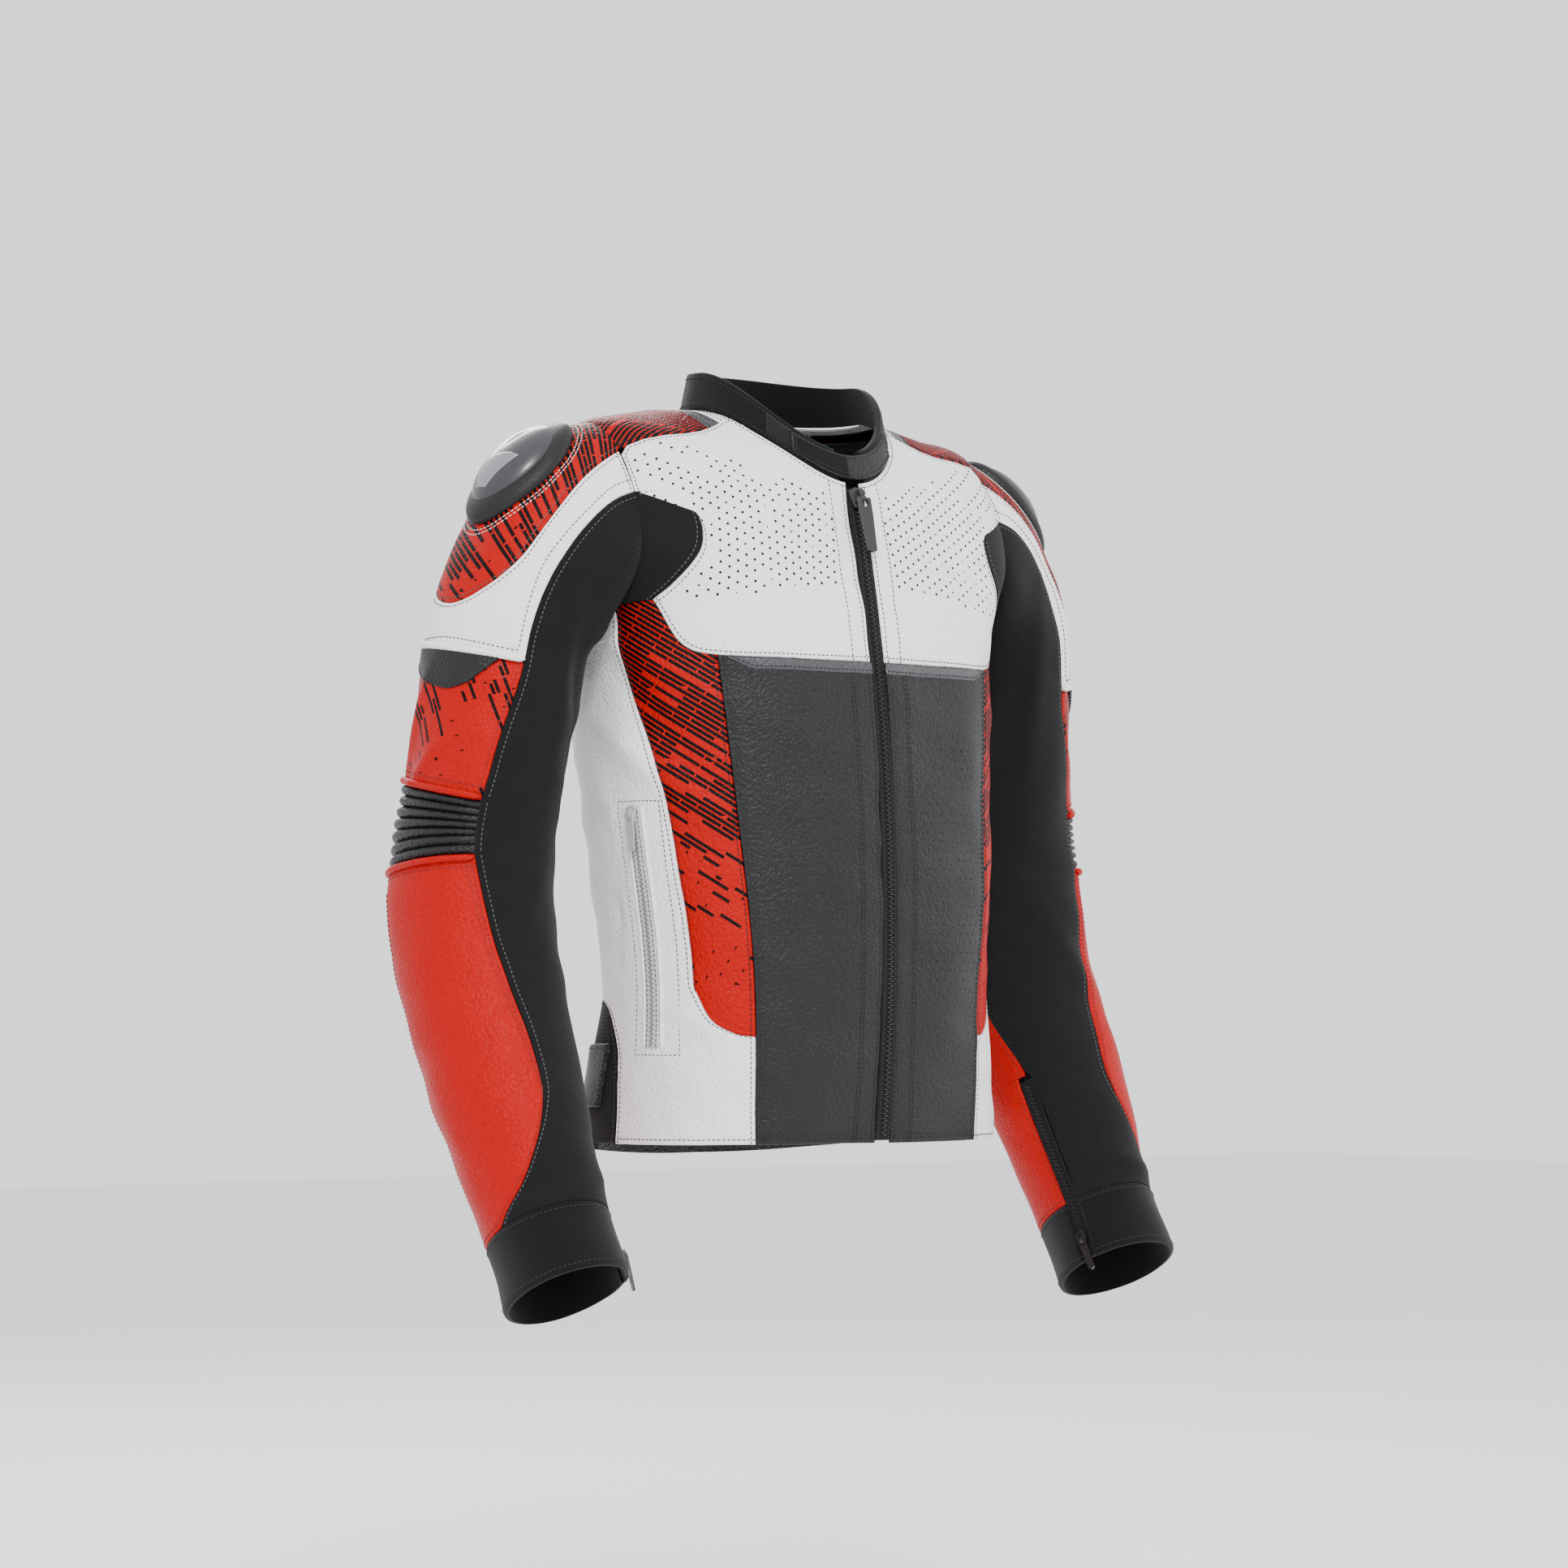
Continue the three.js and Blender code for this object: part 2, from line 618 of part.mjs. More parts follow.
const SLIDER = [12, 15, 7]; // width, length, height of the front slider
const zipUp = zipForm(0, SLIDER_Z + 1).sub(zipForm(0, SLIDER_Z - 1));
const zipOut = vec(0, -1, 0);
const sliderSeat = zipForm(0, SLIDER_Z).addScaledVector(normalOf(zipForm, 0, SLIDER_Z, onZip.middle), 1.1 + FIT);
add("front_slider", placed(sliderShape(...SLIDER), sliderSeat, zipUp, zipOut), zipBlack);
const PULL = [11, 40, 1.8]; // width, length, thickness of the front pull
const pinOut = SLIDER[2] * 0.72 + FIT + 2.1;
const pullPin = sliderSeat.clone().add(vec(0, -pinOut, 0));
add("front_pull", placed(pullShape(...PULL, 0), pullPin, zipUp, zipOut), darkGrey);

// ---- pocket zips ---------------------------------------------------------------------------------------------------
const POCKET_TOP = [80, 0.475];
const POCKET_END = [76, 0.135];
const pocketLine = (b) => [POCKET_TOP[0] + (POCKET_END[0] - POCKET_TOP[0]) * b, POCKET_TOP[1] + (POCKET_END[1] - POCKET_TOP[1]) * b];
addPair(
  "pocket_zip",
  sheet({
    ...onBody,
    cells: [2, 9],
    map: (a, b) => {
      const [angle, v] = pocketLine(1 - b);
      return [angle + (a - 0.5) * 4.2, v];
    },
    low: FIT,
    high: FIT + 1.6,
    inset: 0,
  }),
  zipWhite,
);
const POCKET_SLIDER = [9, 11, 4.5];
const pocketAt = (b) => {
  const [angle, v] = pocketLine(b);
  return body(angle, v).addScaledVector(normalOf(body, angle, v, bodyMiddle), 2 * FIT + 2.1);
};
const pocketStart = pocketAt(0.035);
const pocketRun = pocketAt(0.965).sub(pocketStart);
const pocketOut = normalOf(body, ...pocketLine(0.035), bodyMiddle);
const pocketPuller = join(
  sliderShape(...POCKET_SLIDER),
  pullShape(6.5, 24, 1.6, 2).translate(0, -1, POCKET_SLIDER[2] * 0.42),
);
addPair("pocket_puller", placed(pocketPuller, pocketStart, pocketRun.clone().negate(), pocketOut), zipWhite);

// ---- waist straps -------------------------------------------------------------------------------------------------------
addPair(
  "waist_strap",
  sheet({
    ...onBody,
    cells: [5, 2],
    map: box(gussetTop[0][0] + 7, BACK_SIDE + 2, 0.05, 0.14),
    low: 2 * FIT,
    high: 2 * FIT + 2.6,
    inset: 0,
  }),
  darkGrey,
);

// ---- what the shell carries inside --------------------------------------------------------------------------------
// The lining is a thin vest, open at hem, neck, armholes and front; its rows crowd where the shoulders curve.
const LINING_ROWS = [0.02, 0.15, 0.28, 0.4, 0.51, 0.6, 0.68, 0.75, 0.81, 0.86, 0.9, 0.93, 0.957, 0.985];
const liningRow = edge(LINING_ROWS.map((v) => [v]));
const liningSag = (v) => 12 * Math.exp(-(((v - 0.925) / 0.05) ** 2)); // it hangs free under the shoulder line
const vest = (depth) =>
  sheet({
    ...onBody,
    cells: [28, LINING_ROWS.length - 1],
    ring: true,
    map: (a, b) => [360 * a, liningRow(b)[0]],
    low: (a, b) => -LINING_IN - liningSag(liningRow(b)[0]),
    high: (a, b) => -LINING_OUT - liningSag(liningRow(b)[0]),
    inset: depth,
  });
add(
  "mesh_lining",
  cut(
    vest(0),
    block(60, 400, 400, ARMHOLE_X + 24, 30, ARMPIT_Z + 196),
    block(60, 400, 400, -ARMHOLE_X - 24, 30, ARMPIT_Z + 196),
    block(2 * ZIP_TAPE + 6, 200, 1200, 0, -140, NECK_FRONT_Z / 2),
  ),
  mesh,
);
add(
  "back_protector",
  sheet({
    ...onBody,
    cells: [6, 8],
    map: box(152, 208, 0.14, 0.72),
    low: -LINING_IN - 1.8 - 11,
    high: -LINING_IN - 1.8,
    inset: 0,
  }),
  foam,
);
add(
  "trouser_zip",
  sheet({
    ...onBody,
    cells: [8, 1],
    map: box(132, 228, 0.03, 0.07),
    low: -LINING_IN - 1 - 1.8,
    high: -LINING_IN - 1,
    inset: 0,
  }),
  zipBlack,
);
// ---- sleeves ---------------------------------------------------------------------------------------------------------
const SLEEVE_START = 0.0055; // the sleeve pieces begin this far out from the armhole plane
const PRINT = 43; // half the width of the red shoulder panel, as a turn
const HEM = 0.275; // lower hem of the white shoulder band
const bandInner = [
  [PRINT, SLEEVE_START],
  [PRINT, 0.11],
  [0.72 * PRINT, 0.16],
  [0, 0.185],
  [-0.72 * PRINT, 0.16],
  [-PRINT, 0.11],
  [-PRINT, SLEEVE_START],
];
const bandOuter = [
  [66, SLEEVE_START],
  [67, 0.145],
  [68, HEM],
  [-8, HEM],
  [-84, HEM],
  [-160, HEM],
  [-68, SLEEVE_START],
];
const stretchFront = [bandOuter[2], [60, 0.37], [54, ELBOW_FROM]];
const stretchBack = [bandOuter[5], [-164, ELBOW_FROM]];
const around = (points) => points.map(([turn, t]) => [turn + 360, t]);
addPair(
  "shoulder_print",
  sheet({
    ...onSleeve,
    cells: [8, 6],
    map: quad(
      [bandInner[6], bandInner[0]],
      bandInner.slice(0, 3),
      [bandInner[4], bandInner[3], bandInner[2]],
      [bandInner[6], bandInner[5], bandInner[4]],
    ),
  }),
  red,
);
addPair(
  "shoulder_band",
  sheet({
    ...onSleeve,
    cells: [24, 4],
    map: quad(bandInner, [bandInner[6], bandOuter[6]], bandOuter, [bandInner[0], bandOuter[0]]),
  }),
  white,
);
addPair(
  "bicep_print",
  sheet({
    ...onSleeve,
    cells: [12, 4],
    map: quad(
      bandOuter.slice(2, 6),
      stretchBack,
      [stretchFront[2], [-10, ELBOW_FROM], [-85, ELBOW_FROM], stretchBack[1]],
      stretchFront,
    ),
  }),
  red,
);
addPair(
  "arm_stretch_upper",
  sheet({
    ...onSleeve,
    cells: [10, 8],
    map: quad(
      [bandOuter[0], [175, SLEEVE_START + 0.007], ...around([bandOuter[6]])],
      around([bandOuter[6], ...stretchBack]),
      [stretchFront[2], ...around([stretchBack[1]])],
      [bandOuter[0], bandOuter[1], ...stretchFront],
    ),
  }),
  stretch,
);
const RIBS = [stretchFront[2][0], stretchBack[1][0]]; // front and back ends of the elbow's ribs, as turns
addPair(
  "elbow_ribs",
  sheet({ ...onSleeve, cells: [12, 3], map: box(...RIBS, ELBOW_FROM, ELBOW_TO) }),
  darkGrey,
);
addPair(
  "elbow_stretch",
  sheet({ ...onSleeve, cells: [7, 3], map: box(RIBS[0], RIBS[1] + 360, ELBOW_FROM, ELBOW_TO) }),
  stretch,
);
const CUFF_T = 0.925; // where the cuff begins
const ZIP_TURN = 157; // the cuff zip's place round the forearm
const ZIP_WIDE = 6;
const forearmFront = [
  [RIBS[0], ELBOW_TO],
  [74, 0.7],
  [79, 0.815],
];
const zipBeside = (turn) => [
  [RIBS[1], ELBOW_TO],
  [ZIP_TURN - 360, 0.765],
  [turn - 360, 0.79],
  [turn - 360, CUFF_T],
];
addPair(
  "forearm_panel",
  sheet({
    ...onSleeve,
    cells: [12, 6],
    map: quad(
      [forearmFront[0], [-56, ELBOW_TO], [RIBS[1], ELBOW_TO]],
      zipBeside(ZIP_TURN + ZIP_WIDE),
      [forearmFront[2], [10, CUFF_T], [-90, CUFF_T], [ZIP_TURN + ZIP_WIDE - 360, CUFF_T]],
      forearmFront,
    ),
  }),
  red,
);
addPair(
  "arm_stretch_lower",
  sheet({
    ...onSleeve,
    cells: [8, 6],
    map: quad(
      [forearmFront[0], [RIBS[1] + 360, ELBOW_TO]],
      around(zipBeside(ZIP_TURN - ZIP_WIDE)),
      [[10, CUFF_T], [90, CUFF_T], [ZIP_TURN - ZIP_WIDE, CUFF_T]],
      [...forearmFront, [10, CUFF_T]],
    ),
  }),
  stretch,
);
addPair(
  "cuff",
  sheet({
    ...onSleeve,
    cells: [18, 2],
    map: box(ZIP_TURN + ZIP_WIDE - 360, ZIP_TURN - ZIP_WIDE, CUFF_T, 1),
    low: -3.2,
  }),
  neoprene,
);
addPair(
  "sleeve_lining",
  sheet({
    ...onSleeve,
    cells: [18, 14],
    ring: true,
    map: (a, b) => [360 * a, 0.03 + 0.885 * b ** 1.2],
    low: -SLEEVE_LINING - 1.2,
    high: -SLEEVE_LINING,
    inset: 0,
  }),
  mesh,
);
const CUFF_ZIP_FROM = 0.79;
addPair(
  "cuff_zip",
  sheet({
    ...onSleeve,
    cells: [2, 8],
    map: box(ZIP_TURN - 5.6, ZIP_TURN + 5.6, CUFF_ZIP_FROM, 1),
    low: -1.8,
    high: coil(0.7),
    inset: 0.1,
  }),
  zipBlack,
);
const CUFF_SLIDER = [9, 11, 4.5];
const cuffAt = (t) => sleeve(ZIP_TURN, t).addScaledVector(normalOf(sleeve, ZIP_TURN, t, sleeveMiddle), 1.2 + FIT);
const cuffStart = cuffAt(0.975);
const cuffOut = normalOf(sleeve, ZIP_TURN, 0.975, sleeveMiddle);
const cuffRun = cuffAt(0.83).sub(cuffStart);
const cuffPuller = join(
  sliderShape(...CUFF_SLIDER),
  pullShape(6.5, 22, 1.6, 2).translate(0, -1, CUFF_SLIDER[2] * 0.42),
);
addPair("cuff_puller", placed(cuffPuller, cuffStart, cuffRun, cuffOut), zipBlack);

// ---- armour -----------------------------------------------------------------------------------------------------------
const CUP = [30, 0.028, 0.158]; // half its width as a turn, and where it starts and ends down the sleeve
const CUP_HEIGHT = 17;
const disc = (a, b) => {
  // a square grid drawn into an oval
  const x = 2 * a - 1;
  const y = 2 * b - 1;
  return [x * Math.sqrt(1 - (y * y) / 2), y * Math.sqrt(1 - (x * x) / 2)];
};
addPair(
  "shoulder_cup",
  sheet({
    ...onSleeve,
    cells: [9, 9],
    map: (a, b) => {
      const [x, y] = disc(a, b);
      return [x * CUP[0], (CUP[1] + CUP[2]) / 2 + (y * (CUP[2] - CUP[1])) / 2];
    },
    low: FIT,
    high: (a, b) => {
      const [x, y] = disc(a, b);
      return FIT + 3 + (CUP_HEIGHT - 3) * Math.max(0, 1 - x * x - y * y) ** 0.55;
    },
    inset: 0,
  }),
  hardShell,
);
const PAD_OUT = SLEEVE_LINING + 1.2 + 2.4;
addPair(
  "shoulder_protector",
  sheet({
    ...onSleeve,
    cells: [6, 5],
    map: box(-44, 40, 0.04, 0.24),
    low: -PAD_OUT - 7,
    high: -PAD_OUT,
    inset: 0,
  }),
  foam,
);
addPair(
  "elbow_protector",
  sheet({
    ...onSleeve,
    cells: [6, 5],
    map: box(-125, 5, ELBOW_TO + 0.012, 0.77),
    low: -PAD_OUT - 7,
    high: -PAD_OUT,
    inset: 0,
  }),
  foam,
);

export default jacket;
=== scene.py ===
# %% [markdown]
# # A leather riding jacket
# The jacket is built panel by panel, the way it is sewn. Every panel is a numpy grid laid on one of two forms, the
# body or the sleeve, and given a rolled edge, a stitched valley and a little swell. The forms repeat the dimensions
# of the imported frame, so that each panel lies where its solid lies.

# %% The frame
import math
import bpy
import numpy as np
from mathutils import Matrix, Vector


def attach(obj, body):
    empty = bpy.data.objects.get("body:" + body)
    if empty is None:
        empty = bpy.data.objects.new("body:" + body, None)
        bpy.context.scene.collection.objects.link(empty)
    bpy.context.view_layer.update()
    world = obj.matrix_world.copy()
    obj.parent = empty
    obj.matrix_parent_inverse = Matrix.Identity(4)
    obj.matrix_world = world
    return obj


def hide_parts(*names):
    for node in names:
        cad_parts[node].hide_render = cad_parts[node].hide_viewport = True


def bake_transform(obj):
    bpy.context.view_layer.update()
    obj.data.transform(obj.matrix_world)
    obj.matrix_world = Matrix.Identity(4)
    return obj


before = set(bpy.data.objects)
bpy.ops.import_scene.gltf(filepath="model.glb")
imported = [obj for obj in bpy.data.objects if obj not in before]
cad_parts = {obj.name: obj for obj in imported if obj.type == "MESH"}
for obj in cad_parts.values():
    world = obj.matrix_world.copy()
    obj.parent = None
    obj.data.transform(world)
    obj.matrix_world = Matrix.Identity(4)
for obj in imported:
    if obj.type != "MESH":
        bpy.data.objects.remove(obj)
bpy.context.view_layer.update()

# %% [markdown]
# ## The two forms
# A form is a function of two parameters that gives a point in millimetres, with heights measured from the front hem.
# The body form stacks superellipse rings. Each ring's half width, middle and depth come from a smooth curve through
# a few rows of sizes, so a reader can change the chest without touching the waist.

# %% Smooth curves through rows of sizes
NECK_SEAT = 505.0  # height of the frame's origin above the front hem, mm
ARM_X, ARM_Y, ARM_Z = 164, 28, 442  # the plane of the armhole and its middle in that plane, mm
CAP = 0.25  # share of the sleeve's length that belongs to the shoulder


def curve_through(rows):
    """Rows are [key, value, value, ...]. Between two rows the values follow a cubic whose slopes are the slopes
    between each row's neighbours."""
    rows = np.array(rows, float)
    keys = rows[:, 0]
    last = len(rows) - 1
    before, after = np.maximum(np.arange(last + 1) - 1, 0), np.minimum(np.arange(last + 1) + 1, last)
    slopes = (rows[after] - rows[before]) / (keys[after] - keys[before])[:, None]

    def at(t):
        t = np.asarray(t, float)
        i = np.searchsorted(keys[1:-1], t, side="left")
        h = keys[i + 1] - keys[i]
        u = ((t - keys[i]) / h)[..., None]
        h = h[..., None]
        return ((2 * u**3 - 3 * u**2 + 1) * rows[i] + (u**3 - 2 * u**2 + u) * h * slopes[i]
                + (3 * u**2 - 2 * u**3) * rows[i + 1] + (u**3 - u**2) * h * slopes[i + 1])[..., 1:]

    return at


def zip_y(z):
    """The front zip lies on an arc of 1200 mm radius: y = -116 + 1200 - sqrt(1200^2 - (z - 150)^2)."""
    return 1084 - np.sqrt(1200.0**2 - (np.asarray(z, float) - 150) ** 2)


# %% The body form
# Each ring: side x, y, z; front z; back y, z; squareness. 0 is the hem and 1 the neckline.
body_ring = curve_through([
    [0.0, 158, 8, 0, 0, 112, -12, 2.4],
    [0.22, 149, 2, 110, 110, 98, 106, 2.3],
    [0.46, 155, 8, 230, 228, 116, 230, 2.3],
    [0.66, 160, 14, 330, 326, 136, 336, 2.45],
    [0.74, 164, 18, 372, 364, 141, 382, 2.55],
    [0.84, 184, 26, 448, 409, 138, 446, 2.6],
    [0.92, 164, 32, 512, 443, 118, 498, 2.35],
    [0.96, 120, 30, 523, 459, 100, 518, 2.1],
    [1.0, 76, 20, 528, 471, 82, 531, 2.0],
])


def body(angle, v):
    """Superellipse ring: r = (|sin a / width|^n + |cos a / depth|^n)^(-1/n); the ring's height runs from its side
    height to its front or back height with the square of the share r cos a / depth."""
    xs, ys, zs, zf, yb, zb, n = np.moveaxis(body_ring(v), -1, 0)
    a = np.radians(angle)
    front = np.cos(a) >= 0
    depth = np.where(front, ys - zip_y(zf), yb - ys)
    r = ((np.abs(np.sin(a)) / xs) ** n + (np.abs(np.cos(a)) / depth) ** n) ** (-1 / n)
    share = r * np.cos(a) / depth
    z = zs + (np.where(front, zf, zb) - zs) * share**2
    return np.stack([r * np.sin(a), ys - r * np.cos(a), z], -1)


def front_angle(share, v):
    """The angle at which ring v of the front passes a share of its half width."""
    xs, ys, _, zf, _, _, n = body_ring(v)
    return math.degrees(math.atan2(share * xs, (ys - zip_y(zf)) * (1 - share**n) ** (1 / n)))


def on_face(x, z):
    """Body parameters of the point seen at x, z from the front, found by stepping towards it."""
    angle, v = front_angle(min(0.98, x / 165), 0.5), min(1, z / 500)
    for _ in range(60):
        p = body(angle, v)
        xs, ys, _, zf = body_ring(v)[:4]
        reach = max(25, math.hypot(xs * math.cos(math.radians(angle)), 0.3 * (ys - zip_y(zf))))
        angle += 0.7 * (x - p[0]) * 57.3 / reach
        v += 0.7 * (z - p[2]) / 540
    return angle, v


# %% The armhole, where the body form crosses the plane x = 164
def armhole_table():
    """For each ring wider than 164: share = (1 - (164 / width)^n)^(1/n), and the angle is measured from that."""
    v = np.arange(0.735, 0.9301, 0.001)
    xs, ys, _, zf, yb, _, n = np.moveaxis(body_ring(v), -1, 0)
    keep = xs > ARM_X
    v, xs, ys, zf, yb, n = (w[keep] for w in (v, xs, ys, zf, yb, n))
    share = (1 - (ARM_X / xs) ** n) ** (1 / n)
    rows = []
    for depth, sign in ((ys - zip_y(zf), 1), (yb - ys, -1)):
        angle = 90 - sign * np.degrees(np.arctan2(share * depth, ARM_X))
        p = body(angle, v)
        rows.append(np.stack([np.degrees(np.arctan2(ARM_Y - p[:, 1], p[:, 2] - ARM_Z)), angle, v], -1))
    rows = np.concatenate(rows)
    rows = rows[np.argsort(rows[:, 0])]
    return np.concatenate([rows[-1:] - [360, 0, 0], rows, rows[:1] + [360, 0, 0]])


ARMHOLE = armhole_table()


def armhole(turn):
    """Body parameters on the armhole; turn 0 is its top, 90 its front, 180 the armpit and 270 its back."""
    t = (np.asarray(turn, float) + 180) % 360 - 180
    return np.stack([np.interp(t, ARMHOLE[:, 0], ARMHOLE[:, 1]), np.interp(t, ARMHOLE[:, 0], ARMHOLE[:, 2])], -1)


# %% The sleeve form
# Middle line and radii of the left sleeve: x, y, z, sideways radius, front-to-back radius.
tube_row = curve_through([
    [CAP, 222, 38, 352, 54, 61],
    [0.4, 233, 47, 270, 53, 60],
    [0.515, 239, 53, 207, 54, 60],
    [0.66, 245, 34, 109.5, 54, 59],
    [0.82, 247, -14, 12, 49, 53],
    [0.94, 247, -56, -66, 42, 46],
    [1.0, 246, -74, -98.5, 43, 47],
])


def unit(p):
    return p / np.linalg.norm(p, axis=-1, keepdims=True)


def tube(turn, t):
    """An oval round the middle line: middle + across (side + bulge) cos a + forward (depth + bulge) sin a. The
    bulge is the elbow's: 6 exp(-((t - 0.58) / 0.07)^2) max(0, cos(a + 70))^2."""
    row = tube_row(t)
    axis = unit(tube_row(np.minimum(1, t + 0.004))[..., :3] - tube_row(np.maximum(CAP, t - 0.004))[..., :3])
    across = unit(np.array([1.0, 0, 0]) - axis * axis[..., :1])
    forward = np.cross(axis, across)
    a = np.radians(turn)
    bulge = 6 * np.exp(-(((t - 0.58) / 0.07) ** 2)) * np.maximum(0, np.cos(a + math.radians(70))) ** 2
    return (row[..., :3] + across * ((row[..., 3] + bulge) * np.cos(a))[..., None]
            + forward * ((row[..., 4] + bulge) * np.sin(a))[..., None])


def sleeve(turn, t):
    """Below CAP a cubic carries each line of the sleeve from the armhole to the tube; past that it is the tube."""
    turn, t = np.broadcast_arrays(np.asarray(turn, float), np.asarray(t, float))
    a = np.radians(turn)
    hole = armhole(turn)
    start, end = body(hole[..., 0], hole[..., 1]), tube(turn, np.full(t.shape, CAP))
    chord = np.linalg.norm(start - end, axis=-1, keepdims=True)
    leave = unit(np.stack([0.62 + 0.38 * np.cos(a), -0.22 * np.sin(a), -0.6 + 0.38 * np.cos(a)], -1))
    arrive = unit(tube(turn, np.full(t.shape, 0.26)) - end)
    u = np.clip(t / CAP, 0, 1)[..., None]
    cap = (start * (2 * u**3 - 3 * u**2 + 1) + leave * (u**3 - 2 * u**2 + u) * chord
           + end * (3 * u**2 - 2 * u**3) + arrive * (u**3 - u**2) * chord)
    return np.where((t < CAP)[..., None], cap, tube(turn, np.maximum(t, CAP)))


# %% The collar and zip forms
def collar_form(angle, w):
    """The neckline raised by h w, h = 28 - 4 cos a, leaning in by a share of its height."""
    a = np.radians(angle)
    c = np.cos(a)
    h = 28 - 4 * c
    lean = 0.16 + 0.1 * np.maximum(0, -c)
    lift = np.stack([-np.sin(a) * h * w * lean, c * h * w * (lean + 0.12), h * w], -1)
    return body(angle, np.ones(np.shape(w))) + lift


def zip_form(x, z):
    """A strip whose y follows the zip's arc at every height."""
    x, z = np.broadcast_arrays(np.asarray(x, float), np.asarray(z, float))
    return np.stack([x, zip_y(z), z], -1)


def body_core(v):
    return np.stack([0 * v, 20 + 0 * v, np.minimum(450, 500 * v)], -1)


def sleeve_core(t):
    row = tube_row(np.maximum(t, CAP))[..., :3]
    cap = np.stack([194 + 0 * t, 34 + 0 * t, row[..., 2] + (CAP - t) * 240], -1)
    return np.where((t < CAP)[..., None], cap, row)


CORES = {body: body_core, sleeve: sleeve_core,
         collar_form: lambda w: np.stack([0 * w, 5 + 0 * w, 528 + 0 * w], -1),
         zip_form: lambda z: np.stack([0 * z, 0 * z, z], -1)}


def outward(form, p, q):
    """Unit normal from small steps of both parameters, turned away from the form's core."""
    step = 0.4 if form is zip_form else 0.002
    n = unit(np.cross(form(p + 0.4, q) - form(p - 0.4, q), form(p, q + step) - form(p, q - step)))
    flip = np.sum(n * (form(p, q) - CORES[form](q)), -1) < 0
    return np.where(flip[..., None], -n, n)


print("armhole rows", len(ARMHOLE), "cuff point", np.round(sleeve(0, 1.0), 1))

# %% [markdown]
# ## Seams
# Two panels meet along one seam, so each seam is drawn once, as a smooth line through a few marks, and both panels
# use runs of it. A panel is a Coons patch: it fills the four runs round its edge.

# %% Seam lines and patches
def seam(*marks):
    """A smooth line through marks, mark k at k, as a function that gives runs of itself: seam(...)(i, j) goes from
    mark i to mark j as its parameter goes from 0 to 1."""
    marks = np.array(marks, float)
    at = curve_through(np.column_stack([np.arange(len(marks)), marks])) if len(marks) > 2 else None

    def run(i=0, j=len(marks) - 1):
        if at is None:
            return lambda s: marks[i] + (marks[j] - marks[i]) * np.asarray(s, float)[..., None], abs(j - i)
        return lambda s: at(i + (j - i) * np.asarray(s, float)), abs(j - i)

    return run


def along_armhole(turn0, turn1, legs):
    """A run of the armhole itself, counted as that many legs."""
    return lambda s: armhole(turn0 + (turn1 - turn0) * np.asarray(s, float)), legs


def chain(*runs):
    """Runs one after another; each leg takes an equal share."""
    legs = np.cumsum([0] + [n for _, n in runs])

    def at(s):
        s = np.asarray(s, float)
        x = np.clip(s, 0, 1) * legs[-1]
        out = np.zeros(s.shape + (2,))
        for k, (f, n) in enumerate(runs):
            here = (x >= legs[k]) & ((x < legs[k + 1]) | (k == len(runs) - 1))
            out[here] = f((x[here] - legs[k]) / n)
        return out

    return at


def patch(bottom, right, top, left):
    """Coons patch: bottom to top plus left to right, less the four corners blended, a running left to right."""
    def at(a, b):
        a, b = np.broadcast_arrays(np.asarray(a, float), np.asarray(b, float))
        A, B = a[..., None], b[..., None]
        lo, hi, le, ri = bottom(a), top(a), left(b), right(b)
        c = [f(np.array(s)) for f, s in ((bottom, 0.0), (bottom, 1.0), (top, 0.0), (top, 1.0))]
        corners = (c[0] * (1 - A) + c[1] * A) * (1 - B) + (c[2] * (1 - A) + c[3] * A) * B
        return lo * (1 - B) + hi * B + le * (1 - A) + ri * A - corners
    return at


def span(p0, p1, q0, q1):
    """A plain rectangle of parameters."""
    return lambda a, b: np.stack(np.broadcast_arrays(p0 + (p1 - p0) * a, q0 + (q1 - q0) * b), -1)


# %% The seams of the body
def fronts(*pairs):
    return [(front_angle(share, v), v) for v, share in pairs]


def zip_side(v):
    return front_angle(6.25 / body_ring(v)[0], v), v


zip_edge = seam(*[zip_side(v) for v in (0, 0.15, 0.36, 0.69, 1)])
belly_side = seam(*fronts((0, 0.62), (0.15, 0.665), (0.36, 0.7), (0.69, 0.75)))
flank_foot = seam(*fronts((0.15, 0.665), (0.155, 0.745), (0.175, 0.83), (0.22, 0.885)))
pit_front, pit_back = armhole(150.0), armhole(205.0)
flank_side = seam(*fronts((0.22, 0.885), (0.36, 0.907), (0.53, 0.943)), (80, 0.655), pit_front)
lobe_marks = [on_face(x, z) for x, z in ((154, 381), (147, 391), (138, 404), (130, 417), (127, 430), (129, 441),
                                        (136, 451), (145, 458.5), (156, 461))]
lobe = seam(*lobe_marks, armhole(76.0))
yoke_foot = seam(zip_side(0.69), *fronts((0.69, 0.4), (0.69, 0.75), (0.705, 0.865)), lobe_marks[0])
lobe_foot = seam(lobe_marks[0], pit_front)
gusset_top = seam((86, 0), (89, 0.11), (97, 0.185), (111, 0.207), (126, 0.22))
back_side = seam((126, 0), (126, 0.22), (126, 0.32), (126, 0.42), (126, 0.52), (126, 0.63))
pit_rear = seam(pit_back, (114, 0.7), (126, 0.63))
saddle_front = seam(armhole(42.0), (62, 0.962), (62, 1))
saddle_back = seam(armhole(-45.0), (122, 0.962), (122, 1))
neck = seam((0, 1), (31, 1), (62, 1), (92, 1), (122, 1), (180, 1), (238, 1))
hem = seam(zip_side(0), fronts((0, 0.62))[0], (86, 0), (126, 0), (234, 0))


def mirror_run(run):
    """The same line on the other side of the body: angle becomes 360 - angle."""
    f, legs = run
    return lambda s: f(s) * [-1, 1] + [360, 0], legs


